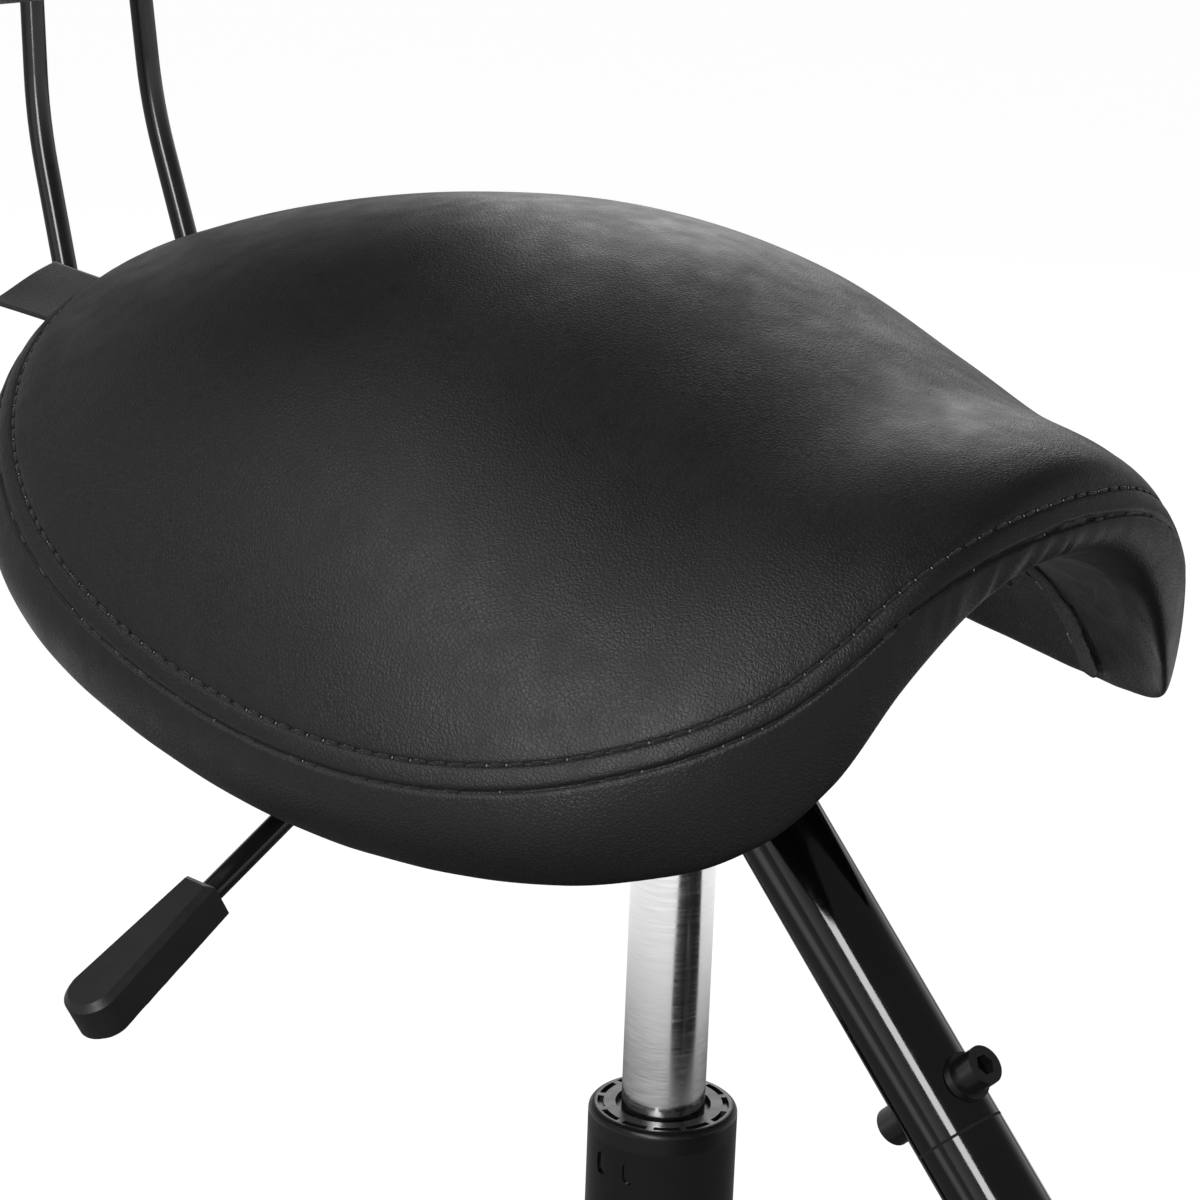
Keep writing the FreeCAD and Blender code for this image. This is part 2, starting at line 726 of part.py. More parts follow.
def make_lever():
    """Cranked lever: an L-shaped blade over the release pin, a boss on the pivot and the rod to the grip."""
    pivot = vector(lever_pivot[0], lever_pivot[1], column_top + lever_pivot[2])
    tip = vector(lever_tip[0], lever_tip[1], column_top + lever_tip[2])
    radius = lever_diameter / 2
    boss_half = lever_boss_width / 2
    along = vector(0, 1, 0)
    boss = Part.makeCylinder(lever_boss_diameter / 2, lever_boss_width, pivot.sub(along * boss_half), along)
    run = tip.sub(pivot)
    rod = rod_between(pivot, pivot + run * (1 - grip_end_cover / run.Length), radius)
    blade_low = release_pin_top + lever_pin_gap
    blade_span = (blade_low, blade_low + lever_blade_height)
    blade_half = lever_blade_width / 2
    across = block((pivot.x, blade_half), (pivot.y - blade_half, pivot.y + blade_half), blade_span)
    over_pin = block((-blade_half, blade_half), (-lever_blade_past_pin, pivot.y + blade_half), blade_span)
    pin_radius = lever_pin_diameter / 2
    ear_high = pivot.z + lever_boss_diameter / 2
    pin_half = boss_half + lever_pin_gap + lever_ear_width
    lever = fused([boss, rod, across, over_pin])
    clear = Part.makeCylinder(pin_radius + running_gap, 2 * pin_half, pivot.sub(along * pin_half), along)
    nodes["lever_rod"] = lever.cut(clear)
    nodes["lever_pivot_pin"] = Part.makeCylinder(pin_radius, 2 * pin_half, pivot.sub(along * pin_half), along)
    ear_span = (pivot.x - lever_ear_half, pivot.x + lever_ear_half)
    floor = tray_bottom + plate_thickness
    ears = []
    for side in (-1, 1):
        low_y = pivot.y + side * (boss_half + lever_pin_gap)
        span = sorted((low_y, low_y + side * lever_ear_width))
        ears.append(block(ear_span, span, (floor, ear_high)))
    foot_half = boss_half + lever_pin_gap
    foot = block(ear_span, (pivot.y - foot_half, pivot.y + foot_half), (floor, floor + lever_foot_thickness))
    bracket = fused(ears + [foot])
    hole = Part.makeCylinder(pin_radius, 2 * pin_half, pivot.sub(along * pin_half), along)
    nodes["lever_bracket"] = bracket.cut(hole)

    grip = grip_solid()
    grip_start = run.Length - grip_length
    nodes["lever_grip"] = grip_placed(grip, pivot, run, grip_start).cut(rod)


def grip_solid():
    """Flat-topped grip, wider at its rounded end, with finger grooves underneath."""
    def outline(z, inset):
        root, wide = grip_root_width / 2 - inset, grip_tip_width / 2 - inset
        bend = grip_length - grip_tip_width / 2
        start = inset
        tip = vector(grip_length - inset, 0, z)
        lines = [Part.makeLine(vector(start, -root, z), vector(start, root, z)),
                 Part.makeLine(vector(start, root, z), vector(bend, wide, z)),
                 Part.Arc(vector(bend, wide, z), tip, vector(bend, -wide, z)).toShape(),
                 Part.makeLine(vector(bend, -wide, z), vector(start, -root, z))]
        return Part.Wire(lines)

    edge = grip_edge
    half = grip_height / 2
    layers = [outline(-half, edge), outline(-half + edge, 0), outline(half - edge, 0), outline(half, edge)]
    grip = Part.makeLoft(layers, True, True)
    groove_centre = -half - grip_groove_radius + grip_groove_depth
    for i in range(grip_grooves):
        start = vector(grip_groove_first + grip_groove_step * i, -grip_tip_width, groove_centre)
        grip = grip.cut(Part.makeCylinder(grip_groove_radius, 2 * grip_tip_width, start, vector(0, 1, 0)))
    return grip


def grip_placed(grip, pivot, run, start):
    """Grip laid along the lever, its flat top turned up."""
    heading = math.degrees(math.atan2(run.y, run.x))
    fall = math.degrees(math.asin(-run.z / run.Length))
    turn = FreeCAD.Rotation(vector(0, 0, 1), heading).multiply(FreeCAD.Rotation(vector(0, 1, 0), fall))
    where = pivot + run * (start / run.Length)
    copy = grip.copy()
    copy.Placement = FreeCAD.Placement(where, turn).multiply(copy.Placement)
    return copy


def clamp_screw_places():
    """Four screws beside the rods, in the clamp under the rear of the plate."""
    y = plate_rear_y - back_clamp_inset - back_clamp_length / 2
    return [(x, y) for x in (-clamp_screw_outer, -clamp_screw_inner, clamp_screw_inner, clamp_screw_outer)]


def bent_path(points, radii):
    """Wire of straight runs joined by tangent arcs at the inner points."""
    edges = []
    start = points[0]
    for i, radius in enumerate(radii):
        corner = points[i + 1]
        back = start.sub(corner) if i == 0 else points[i].sub(corner)
        ahead = points[i + 2].sub(corner)
        back.normalize()
        ahead.normalize()
        half = math.acos(back.dot(ahead)) / 2
        cut = radius / math.tan(half)
        first, last = corner + back * cut, corner + ahead * cut
        inward = (back + ahead).normalize()
        middle = corner + inward * (radius / math.sin(half) - radius)
        edges.append(Part.makeLine(start, first))
        edges.append(Part.Arc(first, middle, last).toShape())
        start = last
    edges.append(Part.makeLine(start, points[-1]))
    return Part.Wire(edges)


def make_back_rods():
    """Two bent rods, from the clamp under the saddle up behind the back pad."""
    radius = back_rod_diameter / 2
    level = plate_height - plate_thickness - back_rod_cover - radius
    for name, side in (("right", -1), ("left", 1)):
        points = [vector(side * back_rod_start[0], back_rod_start[1], level),
                  vector(side * back_rod_heel[0], back_rod_heel[1], level),
                  vector(side * back_rod_knee[0], back_rod_knee[1], column_top + back_rod_knee[2]),
                  vector(side * back_rod_end[0], back_rod_end[1], column_top + back_rod_end[2])]
        path = bent_path(points, [back_rod_heel_radius, back_rod_knee_radius])
        profile = Part.Wire([Part.makeCircle(radius, points[0], points[1].sub(points[0]))])
        nodes["back_rod_" + name] = path.makePipeShell([profile], True, False)

    low = level - back_clamp_height
    rear = plate_rear_y - back_clamp_inset
    clamp = block((-back_clamp_width / 2, back_clamp_width / 2), (rear - back_clamp_length, rear),
                  (low, plate_height - plate_thickness))
    clamp = clamp.cut(nodes["back_rod_right"]).cut(nodes["back_rod_left"])
    screws = []
    for x, y in clamp_screw_places():
        shank = cylinder(screw_diameter / 2, low, plate_height, x, y)
        clamp = clamp.cut(shank)
        head = cylinder(screw_head_diameter / 2, low - screw_head_height, low, x, y)
        screws.append(fused([shank, head]))
    nodes["back_clamp"] = clamp
    plate_screws.extend(screws)


def padded_form(width, depth, thickness):
    """Crowned cushion: drawn-in ends, bulged sides and a domed face, on a flat back at z 0."""
    edge = thickness * pad_edge_share
    sections = []
    for s in (-0.998, -0.97, -0.90, -0.76, -0.5, -0.2, 0.2, 0.5, 0.76, 0.90, 0.97, 0.998):
        x = s * width / 2
        half = depth / 2 * (1 - abs(s) ** pad_corner_power) ** (1 / pad_corner_power)
        crown = edge + (thickness - edge) * (1 - abs(s) ** pad_corner_power) ** 0.5
        points = [vector(x, -half, 0), vector(x, half, 0), vector(x, half, edge), vector(x, -half, edge)]
        bulge = vector(0, pad_edge_bulge, 0)
        middle = (points[1] + points[2]) * 0.5 + bulge
        sections.append(Part.Wire([
            Part.makeLine(points[0], points[1]),
            Part.Arc(points[1], middle, points[2]).toShape(),
            Part.Arc(points[2], vector(x, 0, crown), points[3]).toShape(),
            Part.Arc(points[3], (points[3] + points[0]) * 0.5 - bulge, points[0]).toShape()]))
    return Part.makeLoft(sections, True, False)


def rounded_board(width, depth, low, high, corner):
    board = block((-width / 2, width / 2), (-depth / 2, depth / 2), (low, high))
    upright = [e for e in board.Edges if abs(e.Vertexes[0].Z - e.Vertexes[-1].Z) > 0.5 * (high - low)]
    return board.makeFillet(corner, upright)


def make_back_rest():
    """Cushion on a board, held to the rods by a plate behind them and four screws."""
    lean = math.degrees(back_lean)
    rise = back_pad_centre - back_rod_knee[2]
    centre = vector(0, back_rod_knee[1] + rise * math.tan(back_lean), column_top + back_pad_centre)
    radius = back_rod_diameter / 2
    board_high = radius + back_board_thickness
    tilt = 90.0 - lean
    margin = 2 * back_board_margin
    board = rounded_board(back_pad_width - margin, back_pad_height - margin, radius, board_high,
                          back_board_corner)
    cushion = padded_form(back_pad_width, back_pad_height, back_pad_thickness)
    cushion.translate(vector(0, 0, board_high))
    plate_low = -radius - back_plate_thickness
    plate = rounded_board(back_plate_width, back_plate_height, plate_low, -radius, back_plate_corner)
    screws = []
    screw_x = back_plate_width / 2 - back_screw_margin
    screw_y = back_plate_height / 2 - back_screw_margin
    for x in (-screw_x, screw_x):
        for y in (-screw_y, screw_y):
            shank = cylinder(screw_diameter / 2, plate_low, board_high - screw_cover, x, y)
            head = cylinder(screw_head_diameter / 2, plate_low - screw_head_height, plate_low, x, y)
            plate = plate.cut(shank)
            board = board.cut(shank)
            screws.append(fused([shank, head]))
    nodes["back_board"] = placed(board, centre, tilt)
    nodes["back_cushion"] = placed(cushion, centre, tilt)
    nodes["back_plate"] = placed(plate, centre, tilt)
    plate_screws.extend([placed(s, centre, tilt) for s in screws])


def arm_point(along):
    """Point on the knee arm's axis; along grows down and forward from the column-top level."""
    slope = math.radians(arm_slope)
    return vector(0, arm_crossing_y - along * math.cos(slope), column_top - along * math.sin(slope))


def make_knee_arm():
    """Upper tube on the taper socket, lower tube on a spigot, one cross screw and the knee rest."""
    slope = math.radians(arm_slope)
    radius = arm_diameter / 2
    bore = radius - arm_wall
    top = arm_point(-arm_top_height / math.sin(slope))
    splice = arm_point(arm_splice)
    upper = rod_between(top, splice, radius).cut(rod_between(top, splice, bore))
    socket_radius = cylinder_radius + socket_wall
    upper = upper.cut(cylinder(socket_radius, socket_bottom - socket_length, tray_bottom + socket_length))
    upper = upper.cut(block((-arm_diameter, arm_diameter), (0, arm_top_height), (column_top, plate_height)))

    tilt = math.radians(knee_tilt)
    pad_centre = vector(0, knee_pad_centre[0], column_top + knee_pad_centre[1])
    normal = vector(0, math.sin(tilt), math.cos(tilt))
    pad_depth_below = knee_pad_thickness / 2 + knee_board_thickness + knee_plate_thickness
    plate_centre = pad_centre - normal * pad_depth_below
    lower = rod_between(splice, arm_point(arm_end), radius)
    spigot_top = arm_point(arm_splice - spigot_length)
    spigot = rod_between(spigot_top, splice, bore - spigot_gap)
    inside = rod_between(arm_point(arm_splice + spigot_web), arm_point(arm_end), bore)
    spigot_bore = rod_between(spigot_top, arm_point(arm_splice + spigot_web), bore - spigot_gap - arm_wall)
    lower = fused([lower, spigot]).cut(inside).cut(spigot_bore)
    below = block((-knee_plate_width, knee_plate_width), (-knee_plate_depth, knee_plate_depth),
                  (-knee_plate_width, knee_plate_thickness))
    below = placed(below, plate_centre, -knee_tilt)
    lower = lower.cut(below)

    cross = vector(0, -math.sin(slope), math.cos(slope))
    middle = arm_point(arm_splice - splice_screw_inset)
    shank_radius = splice_screw_diameter / 2
    washer_low = middle + cross * (radius - splice_saddle_depth)
    head_low = middle + cross * (radius + splice_washer_height)
    head_high = head_low + cross * splice_head_height
    rear_low = middle - cross * (radius + splice_head_height)
    rear_high = middle - cross * (radius - splice_saddle_depth)
    shank = rod_between(middle - cross * radius, head_low, shank_radius)
    screw = fused([shank, rod_between(head_low, head_high, splice_head_diameter / 2)])
    hexagon = [head_high + hex_corner(cross, splice_hex_size, k) for k in range(7)]
    socket_hole = Part.Face(Part.makePolygon(hexagon)).extrude(cross * -splice_hex_depth)
    nodes["splice_screw"] = screw.cut(socket_hole)
    washer = rod_between(washer_low, head_low, splice_washer_diameter / 2)
    tube_full = rod_between(top, splice, radius)
    nodes["splice_washer"] = washer.cut(tube_full).cut(shank)
    nut = rod_between(rear_low, rear_high, splice_head_diameter / 2).cut(tube_full)
    nodes["splice_nut"] = nut
    hole = rod_between(rear_low, head_low, shank_radius)
    nodes["splice_screw"] = nodes["splice_screw"].cut(nut)
    nodes["arm_upper_tube"] = upper.cut(hole)
    nodes["arm_lower_tube"] = lower.cut(hole)

    plate = rounded_board(knee_plate_width, knee_plate_depth, 0, knee_plate_thickness, knee_plate_corner)
    pad_low = knee_plate_thickness + knee_board_thickness
    offset = (knee_pad_gap + knee_pad_width) / 2
    screws = []
    for name, side in (("right", -1), ("left", 1)):
        board = rounded_board(knee_pad_width - 2 * knee_board_margin, knee_pad_depth - 2 * knee_board_margin,
                              knee_plate_thickness, pad_low, knee_board_corner)
        pad = padded_form(knee_pad_width, knee_pad_depth, knee_pad_thickness)
        board.translate(vector(side * offset, 0, 0))
        pad.translate(vector(side * offset, 0, pad_low))
        for x in (-knee_screw_spread, knee_screw_spread):
            place = side * offset + x
            shank = cylinder(screw_diameter / 2, 0, pad_low - screw_cover, place, 0)
            head = cylinder(screw_head_diameter / 2, -screw_head_height, 0, place, 0)
            plate = plate.cut(shank)
            board = board.cut(shank)
            screws.append(fused([shank, head]))
        nodes["knee_board_" + name] = placed(board, plate_centre, -knee_tilt)
        nodes["knee_cushion_" + name] = placed(pad, plate_centre, -knee_tilt)
    nodes["knee_plate"] = placed(plate, plate_centre, -knee_tilt)
    plate_screws.extend([placed(s, plate_centre, -knee_tilt) for s in screws])


def hex_corner(axis, size, step):
    side = vector(1, 0, 0)
    up = axis.cross(side)
    turn = math.radians(60.0 * step)
    return side * (size * math.cos(turn)) + up * (size * math.sin(turn))


make_saddle()
make_tag()
make_gas_lift()
make_base()
make_casters()
make_mechanism()
make_lever()
make_back_rods()
make_back_rest()
make_knee_arm()
nodes["plate_screws"] = group(plate_screws)

os.makedirs("parts", exist_ok=True)
for name, shape in nodes.items():
    shape.exportStep("parts/" + name + ".step")
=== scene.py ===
import json
import math
import random

import bpy
import numpy as np
from mathutils import Matrix, Quaternion, Vector


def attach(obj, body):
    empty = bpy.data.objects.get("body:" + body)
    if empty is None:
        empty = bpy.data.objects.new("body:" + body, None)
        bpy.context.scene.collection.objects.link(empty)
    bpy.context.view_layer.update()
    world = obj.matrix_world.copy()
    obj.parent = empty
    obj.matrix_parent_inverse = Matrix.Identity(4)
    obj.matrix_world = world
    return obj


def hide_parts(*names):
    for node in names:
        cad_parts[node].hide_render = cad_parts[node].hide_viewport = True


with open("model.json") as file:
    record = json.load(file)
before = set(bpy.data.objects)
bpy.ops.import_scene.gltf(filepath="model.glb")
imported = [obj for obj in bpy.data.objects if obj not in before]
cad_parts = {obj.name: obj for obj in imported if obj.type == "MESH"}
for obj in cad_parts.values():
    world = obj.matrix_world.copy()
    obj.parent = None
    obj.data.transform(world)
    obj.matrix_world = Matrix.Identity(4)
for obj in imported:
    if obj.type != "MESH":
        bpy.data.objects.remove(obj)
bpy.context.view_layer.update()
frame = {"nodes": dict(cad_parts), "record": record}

random.seed(7)

MM = 0.001
COLUMN_TOP = 300.0

# Saddle: the lines of the part's source, in millimetres over the column top
HALF_WIDTH = 170.0
WIDEST_Y = 50.0
REAR_Y = 235.0
NOSE_Y = -148.0
PLAN_POWER = 2.4
PANEL_BULGE = 5.0
SEAM_LINE = [(235, 247), (198, 224), (149, 199), (92, 179), (35, 166), (-18, 162),
             (-63, 166), (-99, 177), (-121, 190), (-132, 204), (-140, 220), (-148, 235)]
CROWN_LINE = [(235, 248), (230, 255), (217, 262), (175, 276), (121, 288), (63, 294), (8, 289),
              (-41, 273), (-82, 260), (-120, 256), (-136, 253), (-144, 248), (-148, 237)]
UNDER_LINE = [(235, 214), (175, 222), (121, 228), (63, 232), (8, 229), (-41, 222),
              (-82, 217), (-120, 220), (-148, 226)]
DROP_LINE = [(235, 35), (149, 31), (63, 29), (-18, 30), (-63, 34), (-84, 37.5), (-99, 40),
             (-117, 42), (-132, 39), (-140, 27), (-148, 10)]
TUCK_LINE = [(235, 0), (149, 3), (63, 10), (-41, 12), (-93, 8), (-117, 4), (-148, 3)]

# Saddle cover
RING_POINTS = 720
STITCH_LINE = 7.8
BAND_PUFF = 0.55
SEAM_GROOVE = 1.0
STITCH_GROOVE = 0.6
TOP_PUFF = 0.7
TOP_RINGS = [0.0, 0.5, 1.0, 1.6, 2.4, 3.4, 4.5, 5.5, 6.4, 7.0, 7.4, 7.8, 8.2, 8.6, 9.0, 9.6,
             10.4, 11.6, 13.2, 15.2, 17.6, 20.4, 23.6, 27.0]
PROFILE_POINTS = 70
PANEL_ROWS = 40
TURN_ROWS = 30
CORNER_ROUNDING = 3.2
LEATHER_TURN = 24.0
COVER_CLEAR = 3.0
NOSE_SEAM_Y = -74.0
NOSE_LAYER = 2.8
OFFSET_REACH = 32.0
SURFACE_STEP = 0.25

# Stitches of the saddle
STITCH_PITCH = 6.0
STITCH_BREAK = 1.6
THREAD_RADIUS = 0.5
UPPER_LIFT = -0.2
LOWER_LIFT = -0.8
LOWER_SHOWN = 0.4
UPPER_KNOTS = 0.4
LOWER_KNOTS = 0.1
KNOT_LENGTH = 0.75
KNOT_RADIUS = 0.17
KNOT_LIFT = 0.22

# Raw edges, staples and lining under the saddle
EDGE_HALF_SPAN = 131.0
EDGE_DROP = 2.3
NOSE_EDGE = (7.0, 2.4)
REAR_EDGE = (5.6, 2.0)
REAR_EDGE_START = -52.0
RIBBON_SIDES = 14
STAPLE_SPACING = 32.0
STAPLE_FIRST = 14.0
STAPLE_SHIFT = 4.2
STAPLE_LENGTH = 6.0
STAPLE_RADIUS = 0.4
STAPLE_LIFT = 1.6
LINING_INSET = 25.0
LINING_DROP = 2.9
LINING_THICK = 0.7

# Tag, as in the part's source
TAG_WIDTH = 38.0
TAG_REACH = 21.0
TAG_TUCK = 2.0
TAG_GAP = 0.75
TAG_THICK = 0.42
TAG_FROM_REAR = 7.0
TAG_SINK = 0.6
TAG_TURN, TAG_ROLL, TAG_TILT = 16.0, -9.0, 10.0

# Pads: width, depth and thickness in millimetres, places in metres
BACK_PAD = (340.0, 150.0, 45.0)
KNEE_PAD = (150.0, 130.0, 42.0)
BACK_CENTRE = (0, 0.3044, 0.710)
BACK_LEAN = 83.42
BACK_PAD_SEAT = 0.01425
KNEE_CENTRE = (0, -0.2795, 0.2297)
KNEE_TILT = -30.0
KNEE_PAD_SEAT = 0.014
KNEE_SPREAD = 0.099
PAD_POINTS = 400
PAD_STITCH_LINE = 4.9
PAD_STITCH_PITCH = 5.5
PAD_STITCH_BREAK = 1.4
PAD_THREAD_RADIUS = 0.33

# Arm: slope in degrees, where its line meets the column top's height and where its tubes meet, in metres
ARM_SLOPE = math.radians(45.7)
ARM_CROSSING_Y = -0.1526
ARM_SPLICE_ABOVE = 0.043
JOINT_HALF_WIDTH = 0.00045


def curve(points):
    """Smooth line through the points, for arrays of y."""
    line = np.array(sorted(points), float)
    ys, vs = line[:, 0], line[:, 1]
    last = len(ys) - 1
    low = np.maximum(np.arange(last + 1) - 1, 0)
    high = np.minimum(np.arange(last + 1) + 1, last)
    slopes = (vs[high] - vs[low]) / (ys[high] - ys[low])

    def at(y):
        y = np.clip(y, ys[0], ys[-1])
        i = np.clip(np.searchsorted(ys, y, side="right") - 1, 0, last - 1)
        span = ys[i + 1] - ys[i]
        t = (y - ys[i]) / span
        rise = vs[i + 1] - vs[i]
        a, b = slopes[i] * span, slopes[i + 1] * span
        return vs[i] + a * t + (3 * rise - 2 * a - b) * t ** 2 + (a + b - 2 * rise) * t ** 3

    return at


seam_at, crown_at, under_at = curve(SEAM_LINE), curve(CROWN_LINE), curve(UNDER_LINE)
drop_at, tuck_at = curve(DROP_LINE), curve(TUCK_LINE)


def half_at(y):
    length = np.where(y >= WIDEST_Y, REAR_Y - WIDEST_Y, WIDEST_Y - NOSE_Y)
    part = np.clip(np.abs(y - WIDEST_Y) / length, 0, 0.9999999)
    return HALF_WIDTH * (1 - part ** PLAN_POWER) ** (1 / PLAN_POWER)


def arc_height(x, half, edge, middle):
    """Height at x on the round arc from (-half, edge) over (0, middle) to (half, edge)."""
    rise = np.maximum(middle - edge, 0.5)
    radius = (half ** 2 + rise ** 2) / (2 * rise)
    inside = np.clip(radius ** 2 - x ** 2, 0.0, None)
    return middle - radius + np.sqrt(inside)


def top_height(x, y):
    return arc_height(x, half_at(y), seam_at(y), crown_at(y))


def under_height(x, y):
    half = np.maximum(half_at(y) - tuck_at(y), 3.0)
    return arc_height(x, half, seam_at(y) - drop_at(y), under_at(y))


def seam_ring():
    """Seam points at equal steps, from the front left quarter round to the front, and outward normals."""
    phi = np.linspace(-math.pi / 2, 1.5 * math.pi, 8001)
    c, s = np.cos(phi), np.sin(phi)
    power = 2 / PLAN_POWER
    x = HALF_WIDTH * np.sign(c) * np.abs(c) ** power
    reach = np.where(s >= 0, REAR_Y - WIDEST_Y, WIDEST_Y - NOSE_Y)
    y = WIDEST_Y + reach * np.sign(s) * np.abs(s) ** power
    z = seam_at(y)
    dense = np.stack([x, y, z], 1)
    run = np.concatenate([[0], np.cumsum(np.linalg.norm(np.diff(dense, axis=0), axis=1))])
    total = run[-1]
    at = (np.arange(RING_POINTS) / RING_POINTS + 0.125) % 1.0 * total
    ring = np.stack([np.interp(at, run, dense[:, k]) for k in range(3)], 1)
    tangent = np.roll(ring, -1, 0) - np.roll(ring, 1, 0)
    flat = np.stack([tangent[:, 1], -tangent[:, 0]], 1)
    flat /= np.linalg.norm(flat, axis=1)[:, None]
    for _ in range(6):
        flat = (np.roll(flat, 1, 0) + flat + np.roll(flat, -1, 0)) / 3
    flat /= np.linalg.norm(flat, axis=1)[:, None]
    return ring, flat, at, total


SEAM, OUTWARD, RUN, RUN_TOTAL = seam_ring()


def noise_line(run, total, waves, seed):
    """Smooth closed noise along the ring, about -1 to 1."""
    rng = np.random.default_rng(seed)
    value = np.zeros_like(run)
    for k in waves:
        value += rng.uniform(0.4, 1.0) * np.sin(2 * math.pi * k * run / total + rng.uniform(0, 6.28))
    return value / max(1.0, 0.7 * len(waves))


def coons(ring):
    """Square grid of plan points inside a closed ring of 4 n points."""
    n = len(ring) // 4
    south, east = ring[:n + 1], ring[n:2 * n + 1]
    north, west = ring[2 * n:3 * n + 1][::-1], np.concatenate([ring[3 * n:], ring[:1]])[::-1]
    u = np.linspace(0, 1, n + 1)[None, :, None]
    v = np.linspace(0, 1, n + 1)[:, None, None]
    ruled_v = (1 - v) * south[None] + v * north[None]
    ruled_u = (1 - u) * west[:, None] + u * east[:, None]
    corners = ((1 - u) * (1 - v) * south[0] + u * (1 - v) * south[-1]
               + (1 - u) * v * north[0] + u * v * north[-1])
    return ruled_v + ruled_u - corners


def mesh_object(name, points, faces):
    mesh = bpy.data.meshes.new(name)
    mesh.from_pydata([tuple(p) for p in points], [], faces)
    mesh.validate()
    mesh.polygons.foreach_set("use_smooth", [True] * len(mesh.polygons))
    made = bpy.data.objects.new(name, mesh)
    bpy.context.scene.collection.objects.link(made)
    return made


class Skin:
    """Collects closed rings and grids of points into one mesh."""

    def __init__(self):
        self.points, self.faces = [], []

    def add(self, block):
        start = len(self.points)
        self.points.extend(np.asarray(block).reshape(-1, 3))
        return start

    def ring_ids(self, block):
        start = self.add(block)
        return list(range(start, start + len(block)))

    def bridge(self, a, b):
        n = len(a)
        for i in range(n):
            j = (i + 1) % n
            self.faces.append((a[i], a[j], b[j], b[i]))

    def fill(self, ring, inner, up=True):
        """Square grid inside a ring whose own points are the grid's edge."""
        n = len(ring) // 4
        start = self.add(inner[1:-1, 1:-1])
        ids = np.full((n + 1, n + 1), -1)
        ids[1:-1, 1:-1] = start + np.arange((n - 1) * (n - 1)).reshape(n - 1, n - 1)
        for k in range(n + 1):
            ids[0, k] = ring[k]
            ids[k, n] = ring[n + k]
            ids[n, n - k] = ring[2 * n + k]
            ids[n - k, 0] = ring[(3 * n + k) % (4 * n)]
        for v in range(n):
            for u in range(n):
                quad = (ids[v, u], ids[v, u + 1], ids[v + 1, u + 1], ids[v + 1, u])
                self.faces.append(quad if up else quad[::-1])

    def object(self, name):
        points = np.array(self.points) * MM + np.array([0, 0, COLUMN_TOP * MM])
        return mesh_object(name, points, [tuple(int(i) for i in f) for f in self.faces])


def surface_normal(height, x, y):
    step = 0.2
    zx = (height(x + step, y) - height(x - step, y)) / (2 * step)
    zy = (height(x, y + step) - height(x, y - step)) / (2 * step)
    normal = np.stack([-zx, -zy, np.ones_like(zx)], -1)
    return normal / np.linalg.norm(normal, axis=-1, keepdims=True)


def inward_offsets(height, start, distances):
    """Plan distances from the start ring inward that give these lengths along a surface."""
    steps = np.arange(0.0, OFFSET_REACH, SURFACE_STEP)
    x = start[:, 0, None] - OUTWARD[:, 0, None] * steps
    y = start[:, 1, None] - OUTWARD[:, 1, None] * steps
    z = height(x, y)
    length = np.sqrt(SURFACE_STEP ** 2 + np.diff(z, axis=1) ** 2)
    length = np.concatenate([np.zeros((len(start), 1)), np.cumsum(length, axis=1)], axis=1)
    offsets = np.stack([np.interp(distances, length[i], steps) for i in range(len(start))])
    for _ in range(24):
        offsets = (np.roll(offsets, 1, 0) + 2 * offsets + np.roll(offsets, -1, 0)) / 4
    return offsets


def top_line(distance, offsets):
    """Closed line on the top surface, drawn to the seam's own height near the seam."""
    plan = SEAM[:, :2] - OUTWARD * offsets[:, None]
    z = top_height(plan[:, 0], plan[:, 1])
    miss = top_height(SEAM[:, 0], SEAM[:, 1]) - SEAM[:, 2]
    z = z - miss * math.exp(-distance / 4.0)
    for _ in range(3):
        z = (np.roll(z, 1) + 2 * z + np.roll(z, -1)) / 4
    return np.stack([plan[:, 0], plan[:, 1], z], 1)


def top_shift(distance):
    """How far the cover stands out of the plain saddle surface at a distance from the seam."""
    band = np.clip(distance / STITCH_LINE, 0, 1)
    shift = BAND_PUFF * np.sin(math.pi * band) ** 0.7 * (distance < STITCH_LINE)
    shift = shift - SEAM_GROOVE * np.exp(-(distance / 0.9) ** 2)
    shift = shift - STITCH_GROOVE * np.exp(-((distance - STITCH_LINE) / 0.65) ** 2)
    past = np.clip(distance - STITCH_LINE, 0, None)
    fade = np.clip(1 - distance / TOP_RINGS[-1], 0, 1)
    shift = shift + TOP_PUFF * (1 - np.exp(-past / 2.5)) * fade
    return shift


def top_ring(distance, offsets):
    line = top_line(distance, offsets)
    normal = surface_normal(top_height, line[:, 0], line[:, 1])
    for _ in range(6):
        normal = (np.roll(normal, 1, 0) + 2 * normal + np.roll(normal, -1, 0)) / 4
    ripple = 0.12 * noise_line(RUN, RUN_TOTAL, [37, 53, 71, 97, 131], 3)
    ripple = ripple * np.exp(-abs(distance - 9.5) / 6.0)
    return line + normal * (top_shift(distance) + ripple)[:, None]


